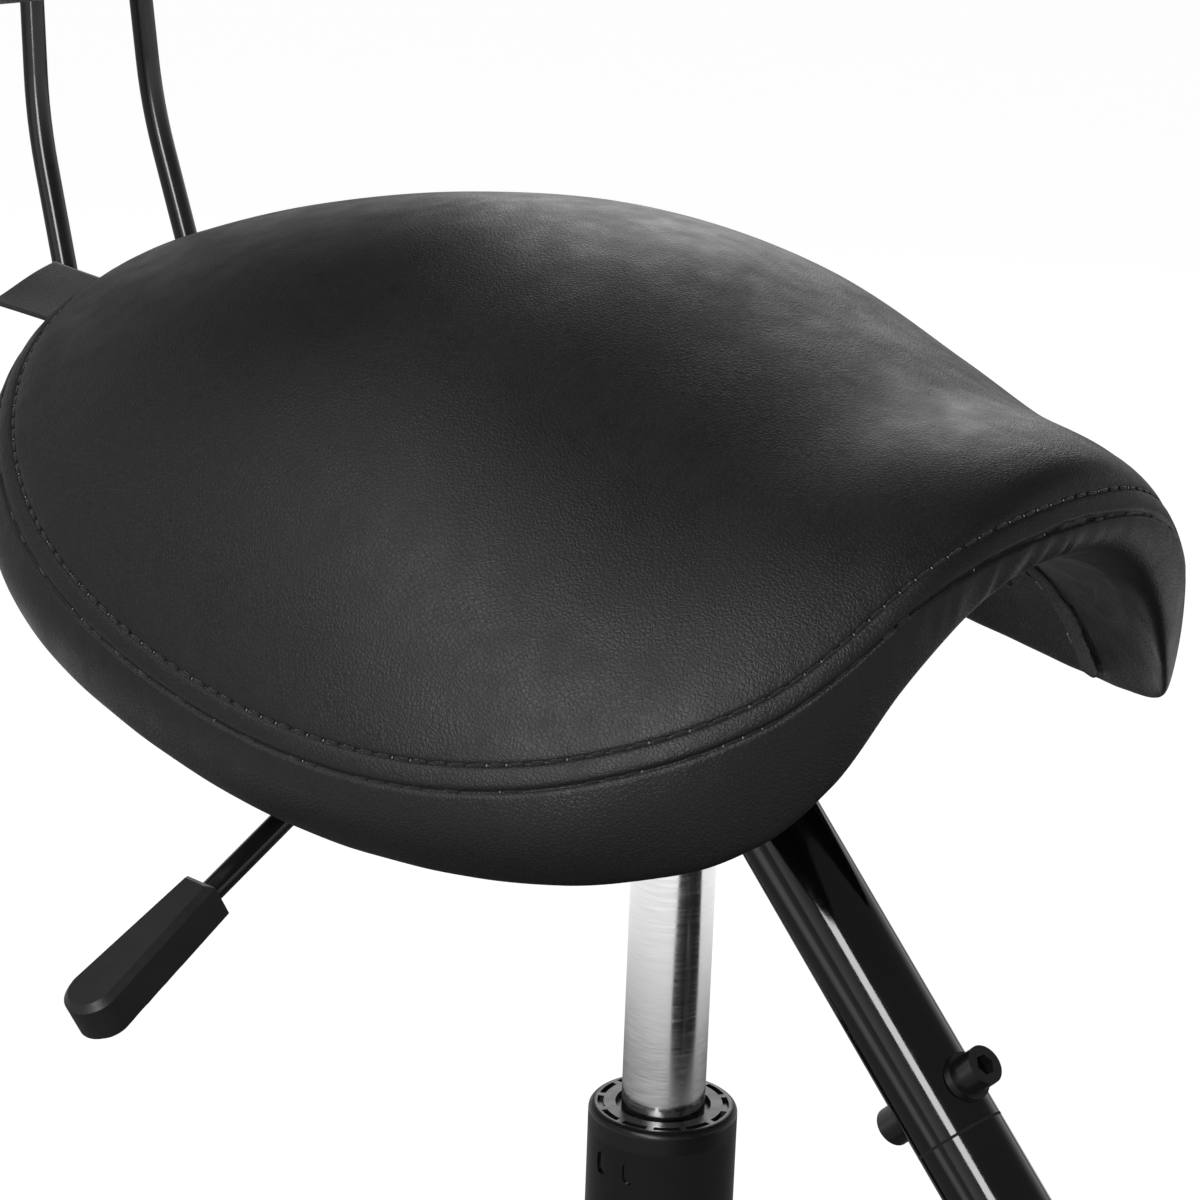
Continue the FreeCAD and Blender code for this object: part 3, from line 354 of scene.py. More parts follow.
def side_profile():
    """Rows of points from the seam down the panel, round the lower edge and in under the shell."""
    y = SEAM[:, 1]
    drop, tuck = drop_at(y), tuck_at(y)
    out3 = np.concatenate([OUTWARD, np.zeros((RING_POINTS, 1))], 1)
    rim = SEAM - out3 * tuck[:, None]
    rim[:, 2] -= drop
    chord = rim - SEAM
    across = np.stack([-chord[:, 2], np.sum(chord[:, :2] * OUTWARD, 1)], 1)
    across /= np.linalg.norm(across, axis=1)[:, None]
    bulge_dir = out3 * across[:, :1] + np.array([0, 0, 1.0]) * across[:, 1:]
    bulge = PANEL_BULGE * (1 - 0.7 * np.clip((-80.0 - y) / 40.0, 0, 1))
    rows = []
    for q in np.linspace(0, 1, PANEL_ROWS):
        rows.append(SEAM + chord * q + bulge_dir * (bulge * 4 * q * (1 - q))[:, None])
    base = under_height(rim[:, 0], rim[:, 1])
    for e in np.linspace(0.8, LEATHER_TURN, TURN_ROWS):
        plan = rim[:, :2] - OUTWARD * e
        z = under_height(plan[:, 0], plan[:, 1]) + (rim[:, 2] - base) * math.exp(-e / 8.0)
        z -= NOSE_LAYER * np.clip((NOSE_SEAM_Y - plan[:, 1]) / 4.0, 0, 1) * min(e / 14.0, 1.0)
        rows.append(np.stack([plan[:, 0], plan[:, 1], z], 1))
    rows = np.stack(rows, 1)
    length = np.linalg.norm(np.diff(rows, axis=1), axis=2)
    length = np.concatenate([np.zeros((RING_POINTS, 1)), np.cumsum(length, 1)], 1)
    rim_length = length[:, PANEL_ROWS - 1]
    grid = np.empty((RING_POINTS, PROFILE_POINTS, 3))
    where = np.empty((RING_POINTS, PROFILE_POINTS))
    t = np.linspace(0, 1, PROFILE_POINTS) ** 1.25
    for i in range(RING_POINTS):
        where[i] = t * length[i, -1]
        for k in range(3):
            grid[i, :, k] = np.interp(where[i], length[i], rows[i, :, k])
    smooth = grid.copy()
    for _ in range(40):
        moved = (np.roll(smooth, 1, 1) + smooth * 2 + np.roll(smooth, -1, 1)) / 4
        near = np.exp(-((where - rim_length[:, None]) / (2.2 * CORNER_ROUNDING)) ** 2)[..., None]
        near[:, 0] = near[:, -1] = 0
        smooth = smooth * (1 - near) + moved * near
    return smooth, where, rim_length


def closing_height(plan, share):
    """Underside between the turned-in edges: below the shell at the nose, above the lining elsewhere."""
    behind = np.clip((plan[..., 1] - NOSE_SEAM_Y) / 5.0, 0, 1)
    rise = share * COVER_CLEAR * behind - NOSE_LAYER * (1 - behind)
    return under_height(plan[..., 0], plan[..., 1]) + rise


def grid_normals(grid):
    along = np.roll(grid, -1, 0) - np.roll(grid, 1, 0)
    down = np.gradient(grid, axis=1)
    normal = np.cross(down, along)
    return normal / np.maximum(np.linalg.norm(normal, axis=-1, keepdims=True), 1e-9)


def make_seat_cover():
    """Closed leather cover: top panel, raised band, side panel and the part turned under."""
    skin = Skin()
    offsets = inward_offsets(top_height, SEAM, TOP_RINGS)
    rings = [skin.ring_ids(top_ring(d, offsets[:, k])) for k, d in enumerate(TOP_RINGS)]
    for a, b in zip(rings, rings[1:]):
        skin.bridge(a, b)
    inner = SEAM[:, :2] - OUTWARD * offsets[:, -1:]
    plan = coons(inner)
    z = top_height(plan[..., 0], plan[..., 1])
    skin.fill(rings[-1], np.dstack([plan, z]))

    grid, where, rim_length = side_profile()
    normal = grid_normals(grid)
    x, y = SEAM[:, 0], SEAM[:, 1]
    nose = np.clip((-y - 112.0) / 22.0, 0, 1) * np.exp(-((x + 24.0) / 34.0) ** 2)
    spread = RUN[:, None] + where * (0.3 + 0.25 * np.sin(RUN / 19.0))[:, None]
    wander = 2.6 * noise_line(RUN, RUN_TOTAL, [17, 29, 53, 71], 5)[:, None]
    fold = np.sin(2 * math.pi * spread / 10.5 + wander)
    fold = np.sign(fold) * np.abs(fold) ** 1.3
    reach = np.exp(-((where - 6.5) / 5.5) ** 2)
    fine = noise_line(RUN, RUN_TOTAL, [61, 89, 127, 163], 9)
    broad = noise_line(RUN, RUN_TOTAL, [11, 19, 29, 43], 12)
    shift = 0.6 * nose[:, None] * fold * reach
    shift += 0.1 * fine[:, None] * np.exp(-((where - 3.0) / 4.0) ** 2)
    shift += 0.2 * broad[:, None] * np.exp(-((where - rim_length[:, None]) / 9.0) ** 2)
    shift -= SEAM_GROOVE * np.exp(-(where / 0.8) ** 2)
    shift[:, 0] = 0
    grid = grid + normal * shift[..., None]
    previous = rings[0]
    for k in range(1, PROFILE_POINTS):
        ring = skin.ring_ids(grid[:, k])
        skin.bridge(ring, previous)
        previous = ring
    for share, inset in ((0.4, 0.5), (1.0, 1.5)):
        plan = grid[:, -1, :2] - OUTWARD * inset
        ring = skin.ring_ids(np.stack([plan[:, 0], plan[:, 1], closing_height(plan, share)], 1))
        skin.bridge(ring, previous)
        previous = ring
    inner = coons(plan)
    skin.fill(previous, np.dstack([inner, closing_height(inner, 1.0)]), up=False)
    return skin.object("seat_cover")


def sample_ring(points, at):
    """Points and tangents at lengths along a closed line."""
    closed = np.concatenate([points, points[:1]])
    run = np.concatenate([[0], np.cumsum(np.linalg.norm(np.diff(closed, axis=0), axis=1))])
    at = np.asarray(at) % run[-1]
    place = np.stack([np.interp(at, run, closed[:, k]) for k in range(3)], 1)
    ahead = (at + 0.5) % run[-1]
    nxt = np.stack([np.interp(ahead, run, closed[:, k]) for k in range(3)], 1)
    tangent = nxt - place
    return place, tangent / np.linalg.norm(tangent, axis=1)[:, None], run[-1]


def capsule(length, radius, flat=1.0, sides=8):
    """Points and faces of a short rounded thread along x, the height scaled by flat."""
    points, faces = [], []
    shape = [(-length / 2, 0.0), (-length / 2 + 0.25 * radius, 0.6), (-length / 2 + radius, 1.0),
             (0.0, 1.08), (length / 2 - radius, 1.0), (length / 2 - 0.25 * radius, 0.6), (length / 2, 0.0)]
    for x, size in shape[1:-1]:
        for k in range(sides):
            turn = 2 * math.pi * k / sides
            points.append((x, radius * size * math.cos(turn), radius * size * flat * math.sin(turn)))
    rings = len(shape) - 2
    for r in range(rings - 1):
        for k in range(sides):
            j = (k + 1) % sides
            faces.append((r * sides + k, r * sides + j, (r + 1) * sides + j, (r + 1) * sides + k))
    first, last = len(points), len(points) + 1
    points.extend([(shape[0][0], 0, 0), (shape[-1][0], 0, 0)])
    for k in range(sides):
        j = (k + 1) % sides
        faces.append((first, j, k))
        faces.append((last, (rings - 1) * sides + k, (rings - 1) * sides + j))
    return np.array(points), faces


def scatter(name, shape, places, along, up, lift=0.0, top=COLUMN_TOP):
    """Copies of one small shape on a line of places, joined in one mesh, in millimetres."""
    base, faces = shape
    points, out = [], []
    for place, x_axis, z_axis in zip(places, along, up):
        y_axis = np.cross(z_axis, x_axis)
        y_axis = y_axis / np.linalg.norm(y_axis)
        z_true = np.cross(x_axis, y_axis)
        start = len(points)
        spot = place + z_true * lift
        points.extend(spot + base[:, :1] * x_axis + base[:, 1:2] * y_axis + base[:, 2:] * z_true)
        out.extend([tuple(start + i for i in f) for f in faces])
    points = np.array(points) * MM + np.array([0, 0, top * MM])
    return mesh_object(name, points, out)


def make_stitches():
    """Upper line of stitches with its pale knots, and the few threads that show in the seam."""
    offsets = inward_offsets(top_height, SEAM, [STITCH_LINE])
    upper = top_line(STITCH_LINE, offsets[:, 0])
    made = []
    for name, path, lift, shown, knotted in (("upper", upper, UPPER_LIFT, 1.0, UPPER_KNOTS),
                                             ("lower", SEAM, LOWER_LIFT, LOWER_SHOWN, LOWER_KNOTS)):
        total = sample_ring(path, [0.0])[2]
        count = int(round(total / STITCH_PITCH))
        at = (np.arange(count) + 0.5) * total / count
        places, tangent, _ = sample_ring(path, at)
        up = surface_normal(top_height, places[:, 0], places[:, 1])
        if name == "lower":
            share = np.arange(RING_POINTS) * total / RING_POINTS
            out = np.stack([np.interp(at, share, OUTWARD[:, k], period=total) for k in (0, 1)], 1)
            up = up + np.concatenate([out, np.zeros((count, 1))], 1)
            up /= np.linalg.norm(up, axis=1)[:, None]
        keep = [i for i in range(count) if random.random() < shown]
        thread = capsule(total / count - STITCH_BREAK, THREAD_RADIUS, 0.8)
        made.append(scatter("seat_thread_" + name, thread, places[keep], tangent[keep], up[keep], lift))
        knots = sample_ring(path, at + 0.5 * total / count)[0]
        keep = [i for i in range(count) if random.random() < knotted]
        turn = np.cross(up, tangent)
        dot = capsule(KNOT_LENGTH, KNOT_RADIUS, 0.7, 6)
        made.append(scatter("seat_knots_" + name, dot, knots[keep], turn[keep], up[keep], lift + KNOT_LIFT))
    return made


def under_point(x, y, drop):
    return np.stack([x, y, under_height(x, y) - drop], -1)


def lining_outline(inset, drop, wobble=0.0):
    """Closed line under the saddle inside the turned edge, cut straight across behind the nose."""
    offset = tuck_at(SEAM[:, 1]) + inset + wobble * noise_line(RUN, RUN_TOTAL, [9, 17, 31, 47, 83], 17)
    plan = SEAM[:, :2] - OUTWARD * offset[:, None]
    front = NOSE_SEAM_Y + inset - LEATHER_TURN + 5.0 * (plan[:, 0] / 140.0) ** 2
    plan[:, 1] = np.maximum(plan[:, 1], front)
    return under_point(plan[:, 0], plan[:, 1], drop)


def ribbon(name, path, size, seed):
    """Rough-edged strip of this width and thickness along an open line on the saddle's underside."""
    width, thickness = size
    rng = np.random.default_rng(seed)
    count = len(path)
    tangent = np.gradient(path, axis=0)
    tangent /= np.linalg.norm(tangent, axis=1)[:, None]
    down = -surface_normal(under_height, path[:, 0], path[:, 1])
    side = np.cross(down, tangent)
    side /= np.linalg.norm(side, axis=1)[:, None]
    skin = Skin()
    rings = []
    rough = rng.normal(0, 1, (count, RIBBON_SIDES))
    for _ in range(2):
        rough = (np.roll(rough, 1, 0) + rough + np.roll(rough, -1, 0)) / 3
    spread = 1 + 0.22 * np.convolve(rng.normal(0, 1, count + 8), np.ones(9) / 3, "valid")
    for i in range(count):
        ring = []
        for k in range(RIBBON_SIDES):
            turn = 2 * math.pi * k / RIBBON_SIDES
            across = width / 2 * np.sign(math.cos(turn)) * abs(math.cos(turn)) ** 0.6 * spread[i]
            across = across + 0.3 * rough[i, k]
            height = thickness * (0.45 + 0.55 * math.sin(turn)) + 0.22 * rough[i, k]
            ring.append(path[i] + side[i] * across + down[i] * height)
        rings.append(skin.ring_ids(np.array(ring)))
    for a, b in zip(rings, rings[1:]):
        skin.bridge(a, b)
    skin.faces.append(tuple(rings[0][::-1]))
    skin.faces.append(tuple(rings[-1]))
    return skin.object(name)


def make_raw_edges():
    """Raw edges of the cover: one across behind the nose, one round the rear, each with its staples."""
    x = np.linspace(-EDGE_HALF_SPAN, EDGE_HALF_SPAN, 250)
    y = NOSE_SEAM_Y + 4.0 * (x / 140.0) ** 2 + 1.0 + 0.8 * np.sin(x / 17.0)
    across = under_point(x, y, EDGE_DROP)
    outline = lining_outline(LINING_INSET, 0.6, 0.9)
    keep = SEAM[:, 1] > REAR_EDGE_START
    first = int(np.argmax(keep & ~np.roll(keep, 1)))
    round_rear = np.roll(outline, -first, 0)[:int(keep.sum())]
    places, along, up = [], [], []
    for path in (across, round_rear):
        run = np.concatenate([[0], np.cumsum(np.linalg.norm(np.diff(path, axis=0), axis=1))])
        at = np.arange(STAPLE_FIRST, run[-1] - 8.0, STAPLE_SPACING)
        at = at + np.array([random.uniform(-3, 3) for _ in at])
        spot = np.stack([np.interp(at, run, path[:, k]) for k in range(3)], 1)
        ahead = np.stack([np.interp(at + 1.0, run, path[:, k]) for k in range(3)], 1) - spot
        ahead /= np.linalg.norm(ahead, axis=1)[:, None]
        down = -surface_normal(under_height, spot[:, 0], spot[:, 1])
        side = np.cross(down, ahead)
        middle = np.array([0.0, 50.0, 0.0]) - spot
        inward = side * np.sign(np.sum(side * middle, axis=1))[:, None]
        skew = np.array([random.uniform(-0.3, 0.3) for _ in at])[:, None]
        ahead = ahead + inward * skew
        ahead /= np.linalg.norm(ahead, axis=1)[:, None]
        places.append(spot + inward * STAPLE_SHIFT)
        along.append(ahead)
        up.append(down)
    staples = scatter("seat_staples", capsule(STAPLE_LENGTH, STAPLE_RADIUS, 0.8), np.concatenate(places),
                      np.concatenate(along), np.concatenate(up), STAPLE_LIFT)
    return [ribbon("seat_raw_edge_nose", across, NOSE_EDGE, 31),
            ribbon("seat_raw_edge_rear", round_rear, REAR_EDGE, 32), staples]


def make_lining():
    """Thin sheet drawn over the underside behind the nose, with slack between its staples."""
    skin = Skin()
    pucker = 0.35 * np.sin(2 * math.pi * RUN / STAPLE_SPACING)
    lower, upper = [], []
    for inset, drop in ((LINING_INSET, 2.4), (27.0, 2.6), (30.0, 2.8), (34.0, LINING_DROP)):
        ring = lining_outline(inset, drop)
        ring[:, 2] -= pucker * math.exp(-abs(inset - 30.0) / 4.0)
        lower.append(skin.ring_ids(ring))
        upper.append(skin.ring_ids(ring + np.array([0, 0, LINING_THICK])))
    for a, b in zip(lower, lower[1:]):
        skin.bridge(b, a)
    for a, b in zip(upper, upper[1:]):
        skin.bridge(a, b)
    skin.bridge(upper[0], lower[0])
    for rings, up in ((lower, False), (upper, True)):
        edge = np.array([skin.points[i] for i in rings[-1]])
        plan = coons(edge[:, :2])
        sag = 0.5 * np.sin(plan[..., 0] / 21.0 + plan[..., 1] / 33.0)
        z = under_height(plan[..., 0], plan[..., 1]) - LINING_DROP - 0.35 - sag
        z = z + (LINING_THICK if up else 0.0)
        skin.fill(rings[-1], np.dstack([plan, z]), up)
    return skin.object("seat_lining")


def moved(made, matrix):
    made.data.transform(matrix)
    made.data.update()
    return made


# Pads
def pad_outline(width, depth, count):
    """Outline in four equal-count sides from the front left corner, drawn in between its corners."""
    sides = []
    for start in (1.25, 1.75, 2.25, 2.75):
        phi = np.linspace(start * math.pi, (start + 0.5) * math.pi, 1501)
        c, v = np.cos(phi), np.sin(phi)
        x = width / 2 * np.sign(c) * np.abs(c) ** 0.4
        y = depth / 2 * np.sign(v) * np.abs(v) ** 0.4
        x, y = (x * (1 - 0.010 * (1 - (2 * y / depth) ** 2)), y * (1 - 0.030 * (1 - (2 * x / width) ** 2)))
        run = np.concatenate([[0], np.cumsum(np.hypot(np.diff(x), np.diff(y)))])
        at = np.linspace(0, run[-1], count // 4 + 1)[:-1]
        sides.append(np.stack([np.interp(at, run, x), np.interp(at, run, y)], 1))
    ring = np.concatenate(sides)
    tangent = np.roll(ring, -1, 0) - np.roll(ring, 1, 0)
    out = np.stack([tangent[:, 1], -tangent[:, 0]], 1)
    return ring, out / np.linalg.norm(out, axis=1)[:, None]


def make_pad(name, size, matrix, seed):
    """Crowned pad with puffed side band, a seam round its face and one line of stitches."""
    width, depth, thickness = size
    count = PAD_POINTS
    edge = 0.70 * thickness
    ring, out = pad_outline(width - 4.0, depth - 4.0, count)
    closed = np.concatenate([ring, ring[:1]])
    steps = np.hypot(*np.diff(closed, axis=0).T)
    run = np.concatenate([[0], np.cumsum(steps)])[:-1]
    total = run[-1] + steps[-1]

    def face(x, y):
        a, b = np.clip(np.abs(2 * x / width), 0, 0.9999), np.clip(np.abs(2 * y / depth), 0, 0.9999)
        return edge + (thickness - edge) * ((1 - a ** 4.5) * (1 - b ** 2.6)) ** 0.55

    base = face(ring[:, 0], ring[:, 1]) - edge
    ripple = noise_line(run, total, [41, 67, 97, 131], seed)
    broad = noise_line(run, total, [7, 11, 17, 23], seed + 1)
    skin = Skin()

    def level(inset, z):
        plan = ring - out * np.broadcast_to(inset, count)[:, None]
        return np.concatenate([plan, np.broadcast_to(z, count)[:, None]], 1)

    rings = [level(9.0, 0.6), level(5.0, 0.4), level(2.2, 0.8), level(0.8, 2.0)]
    for t in np.linspace(0.06, 1.0, 22):
        z = 2.0 + (edge - 2.0) * t
        puff = 4.2 * math.sin(math.pi * min(t, 1.0)) ** 0.8 + 0.5
        crease = 1.3 * math.exp(-((1 - t) * (edge - 2.0) / 1.1) ** 2)
        sway = 0.3 * broad * math.sin(math.pi * t) + 0.18 * ripple * math.exp(-((1 - t) * edge / 4.0) ** 2)
        rings.append(level(-puff + crease - sway, z))
    for d in (0.5, 1.1, 1.8, 2.8, 3.8, 4.5, PAD_STITCH_LINE, 5.3, 5.7, 6.4, 7.6, 9.4, 12.0, 15.5, 20.0):
        plan = ring - out * (d - 0.2)
        z = face(plan[:, 0], plan[:, 1]) - base * math.exp(-d / 3.0)
        z = z + 0.5 * math.sin(math.pi * min(d / PAD_STITCH_LINE, 1.0))
        z = z - 0.55 * math.exp(-((d - PAD_STITCH_LINE) / 0.5) ** 2)
        z = z - 1.0 * math.exp(-(d / 0.9) ** 2) + 0.15 * ripple * math.exp(-abs(d - 6.0) / 4.0)
        rings.append(np.concatenate([plan, z[:, None]], 1))
    ids = [skin.ring_ids(r) for r in rings]
    for a, b in zip(ids, ids[1:]):
        skin.bridge(a, b)
    plan = coons(rings[-1][:, :2])
    hollow = face(plan[..., 0], plan[..., 1])
    skin.fill(ids[-1], np.dstack([plan, hollow]), up=True)
    plan = coons(rings[0][:, :2])
    skin.fill(ids[0], np.dstack([plan, np.full(plan.shape[:2], 0.6)]), up=False)
    pad = moved(skin.object(name), matrix @ Matrix.Translation((0, 0, -COLUMN_TOP * MM)))

    line = ring - out * 4.7
    line = np.concatenate([line, (face(line[:, 0], line[:, 1]) - base * math.exp(-1.6))[:, None]], 1)
    length = sample_ring(line, [0.0])[2]
    stitches = int(round(length / PAD_STITCH_PITCH))
    at = (np.arange(stitches) + 0.5) * length / stitches
    places, along, _ = sample_ring(line, at)
    up = surface_normal(face, places[:, 0], places[:, 1])
    stitch = capsule(length / stitches - PAD_STITCH_BREAK, PAD_THREAD_RADIUS, 0.8)
    thread = scatter(name + "_thread", stitch, places, along, up, -0.15, 0.0)
    return pad, moved(thread, matrix)


def make_tag():
    """Bare cloth tag, folded over and caught in the seam at the rear on the sitter's right."""
    steps, across = 26, 30
    whole = TAG_REACH + TAG_TUCK
    middle = []
    for k in range(steps + 1):
        middle.append((-TAG_TUCK + whole * k / steps, -TAG_GAP / 2))
    for k in range(1, 8):
        turn = -math.pi / 2 + math.pi * k / 8
        middle.append((TAG_REACH + TAG_GAP / 2 * math.cos(turn), TAG_GAP / 2 * math.sin(turn)))
    for k in range(steps + 1):
        middle.append((TAG_REACH - whole * k / steps, TAG_GAP / 2))
    middle = np.array(middle)
    tangent = np.gradient(middle, axis=0)
    tangent /= np.linalg.norm(tangent, axis=1)[:, None]
    normal = np.stack([-tangent[:, 1], tangent[:, 0]], 1)
    loop = np.concatenate([middle + normal * TAG_THICK / 2, (middle - normal * TAG_THICK / 2)[::-1]])
    points, faces = [], []
    for i in range(across + 1):
        x = TAG_WIDTH * (i / across - 0.5)
        for v, z in loop:
            out = max(v, 0) / TAG_REACH
            points.append((x, v, z + 0.5 * math.sin(x / 7.5 + 0.6) * out + 0.012 * out ** 2 * x))
    n = len(loop)
    for i in range(across):
        for k in range(n):
            j = (k + 1) % n
            faces.append((i * n + k, (i + 1) * n + k, (i + 1) * n + j, i * n + j))
    half = n // 2
    for i, flip in ((0, False), (across, True)):
        for k in range(half - 1):
            quad = (i * n + k, i * n + k + 1, i * n + n - 2 - k, i * n + n - 1 - k)
            faces.append(quad[::-1] if flip else quad)
    tag = mesh_object("seat_tag_cloth", np.array(points) * MM, faces)
    y = REAR_Y - TAG_FROM_REAR
    root = Vector((-float(half_at(y)), y, COLUMN_TOP + float(seam_at(y)) - TAG_SINK)) * MM
    turns = (Matrix.Rotation(math.radians(TAG_TURN), 4, "Z") @ Matrix.Rotation(math.radians(TAG_ROLL), 4, "Y")
             @ Matrix.Rotation(math.radians(TAG_TILT), 4, "X"))
    return moved(tag, Matrix.Translation(root) @ turns)


# Materials
def new_material(name):
    made = bpy.data.materials.new(name)
    made.use_nodes = True
    tree = made.node_tree
    return made, tree, tree.nodes["Principled BSDF"]


def add(tree, kind, **settings):
    node = tree.nodes.new(kind)
    for key, value in settings.items():
        if key in ("operation", "blend_type", "feature", "data_type", "distance", "interpolation_type"):
            setattr(node, key, value)
        else:
            node.inputs[key.replace("_", " ")].default_value = value
    return node


def coordinates(tree, scale=(1.0, 1.0, 1.0), rotation=(0.0, 0.0, 0.0)):
    source = tree.nodes.new("ShaderNodeTexCoord")
    mapping = tree.nodes.new("ShaderNodeMapping")
    mapping.inputs["Scale"].default_value = scale
    mapping.inputs["Rotation"].default_value = rotation
    tree.links.new(source.outputs["Object"], mapping.inputs["Vector"])
    return mapping.outputs["Vector"]


def ramp(tree, source, stops):
    node = tree.nodes.new("ShaderNodeValToRGB")
    node.color_ramp.elements[0].position, node.color_ramp.elements[0].color = stops[0][0], stops[0][1]
    node.color_ramp.elements[1].position, node.color_ramp.elements[1].color = stops[-1][0], stops[-1][1]
    for position, colour in stops[1:-1]:
        element = node.color_ramp.elements.new(position)
        element.color = colour
    tree.links.new(source, node.inputs["Fac"])
    return node.outputs["Color"]


def grey(value, tint=0.0):
    return (value * (1 - tint), value, value * (1 + tint), 1.0)


def shade(tree, shader, socket, source, low, high):
    """Drives a socket of the shader from a noise, between two (noise value, grey) pairs."""
    tone = ramp(tree, source, [(low[0], grey(low[1])), (high[0], grey(high[1]))])
    tree.links.new(tone, shader.inputs[socket])


def bump_stack(tree, shader, layers):
    """Chain of bump nodes from (height output, strength, distance in metres)."""
    previous = None
    for height, strength, distance in layers:
        bump = tree.nodes.new("ShaderNodeBump")
        bump.inputs["Strength"].default_value = strength
        bump.inputs["Distance"].default_value = distance
        tree.links.new(height, bump.inputs["Height"])
        if previous is not None:
            tree.links.new(previous, bump.inputs["Normal"])
        previous = bump.outputs["Normal"]
    tree.links.new(previous, shader.inputs["Normal"])


def noise(tree, vector, scale, detail=3.0, rough=0.55, distortion=0.0):
    node = tree.nodes.new("ShaderNodeTexNoise")
    node.inputs["Scale"].default_value = scale
    node.inputs["Detail"].default_value = detail
    node.inputs["Roughness"].default_value = rough
    node.inputs["Distortion"].default_value = distortion
    tree.links.new(vector, node.inputs["Vector"])
    return node.outputs["Fac"]


def leather(name, base=0.008, roughness=0.46, cells=760.0, depth=0.0001, wrinkles=0.18):
    """Grained vinyl leather: fine pebbles with painted shade in their grooves, a finer wrinkle net, broad
    creases and faint wear.
    """
    made, tree, shader = new_material(name)
    plain = coordinates(tree)
    warp = add(tree, "ShaderNodeTexNoise", Scale=260.0, Detail=2.0)
    tree.links.new(plain, warp.inputs["Vector"])
    shift = add(tree, "ShaderNodeVectorMath", operation="MULTIPLY_ADD")
    shift.inputs[1].default_value = (0.0008, 0.0008, 0.0008)
    tree.links.new(warp.outputs["Color"], shift.inputs[0])
    tree.links.new(plain, shift.inputs[2])
    pebble = add(tree, "ShaderNodeTexVoronoi", feature="DISTANCE_TO_EDGE", Scale=cells)
    tree.links.new(shift.outputs[0], pebble.inputs["Vector"])
    pebbles = ramp(tree, pebble.outputs["Distance"], [(0.0, grey(0.0)), (0.2, grey(0.7)), (0.5, grey(1.0))])
    fine = noise(tree, plain, 1500.0, 3.0, 0.6)
    stretched = coordinates(tree, (1.0, 2.4, 1.6), (0.2, 0.1, 0.6))
    crease = add(tree, "ShaderNodeTexNoise", Scale=150.0, Detail=4.0, Distortion=0.6)
    tree.links.new(stretched, crease.inputs["Vector"])
    creases = ramp(tree, crease.outputs["Fac"], [(0.36, grey(0.0)), (0.5, grey(1.0)), (0.64, grey(0.3))])
    broad = noise(tree, plain, 14.0, 2.0, 0.5)
    bump_stack(tree, shader, [(broad, 0.25, 0.002), (creases, wrinkles, 0.00012),
                              (pebbles, 0.75, depth), (fine, 0.45, 0.00008)])
    wear = noise(tree, plain, 9.0, 4.0, 0.6)
    tone = ramp(tree, wear, [(0.3, grey(base * 0.85, 0.02)), (0.7, grey(base * 1.2, 0.02))])
    # Painted shade: the base colour is darkened along the grooves between the pebbles, following the pebble
    # heights.
    painted_groove_shade = add(tree, "ShaderNodeMix", data_type="RGBA", blend_type="MULTIPLY")
    painted_groove_shade.inputs["Factor"].default_value = 0.45
    tree.links.new(tone, painted_groove_shade.inputs["A"])
    tree.links.new(pebbles, painted_groove_shade.inputs["B"])
    tree.links.new(painted_groove_shade.outputs["Result"], shader.inputs["Base Color"])
    shade(tree, shader, "Roughness", noise(tree, plain, 70.0, 4.0, 0.6),
          (0.3, roughness - 0.06), (0.7, roughness + 0.07))
    shader.inputs["Specular IOR Level"].default_value = 0.30
    return made


def paint(name, base=0.003, roughness=0.09, peel=0.12, joint=None):
    """Gloss black powder coat with orange peel, and a dull line where two tubes meet at a plane."""
    made, tree, shader = new_material(name)
    plain = coordinates(tree)
    bump_stack(tree, shader, [(noise(tree, plain, 420.0, 2.0, 0.5), peel, 0.00006),
                              (noise(tree, plain, 2600.0, 2.0, 0.5), 0.1, 0.00002)])
    shade(tree, shader, "Base Color", noise(tree, plain, 30.0, 4.0, 0.6),
          (0.3, base * 0.8), (0.7, base * 1.3))
    rough = ramp(tree, noise(tree, plain, 160.0, 4.0, 0.65),
                 [(0.35, grey(roughness - 0.02)), (0.75, grey(roughness + 0.04))])
    if joint is not None:
        along = add(tree, "ShaderNodeVectorMath", operation="DOT_PRODUCT")
        along.inputs[1].default_value = joint[0]
        tree.links.new(plain, along.inputs[0])
        near = add(tree, "ShaderNodeMath", operation="COMPARE")
        near.inputs[1].default_value = joint[1]
        near.inputs[2].default_value = JOINT_HALF_WIDTH
        tree.links.new(along.outputs["Value"], near.inputs[0])
        both = add(tree, "ShaderNodeMath", operation="MAXIMUM")
        tree.links.new(rough, both.inputs[0])
        tree.links.new(near.outputs[0], both.inputs[1])
        rough = both.outputs[0]
    tree.links.new(rough, shader.inputs["Roughness"])
    shader.inputs["Specular IOR Level"].default_value = 0.6
    return made


def plastic(name, base=0.009, roughness=0.38, grain=1400.0, strength=0.25):
    """Moulded plastic with a fine spark-eroded grain."""
    made, tree, shader = new_material(name)
    plain = coordinates(tree)
    bump_stack(tree, shader, [(noise(tree, plain, grain, 3.0, 0.6), strength, 0.00008),
                              (noise(tree, plain, 60.0, 2.0, 0.5), 0.12, 0.0004)])
    shade(tree, shader, "Base Color", noise(tree, plain, 45.0, 4.0, 0.6),
          (0.3, base * 0.85), (0.7, base * 1.2))
    shade(tree, shader, "Roughness", noise(tree, plain, 200.0, 3.0, 0.6),
          (0.3, roughness - 0.05), (0.7, roughness + 0.06))
    shader.inputs["Specular IOR Level"].default_value = 0.32
    return made


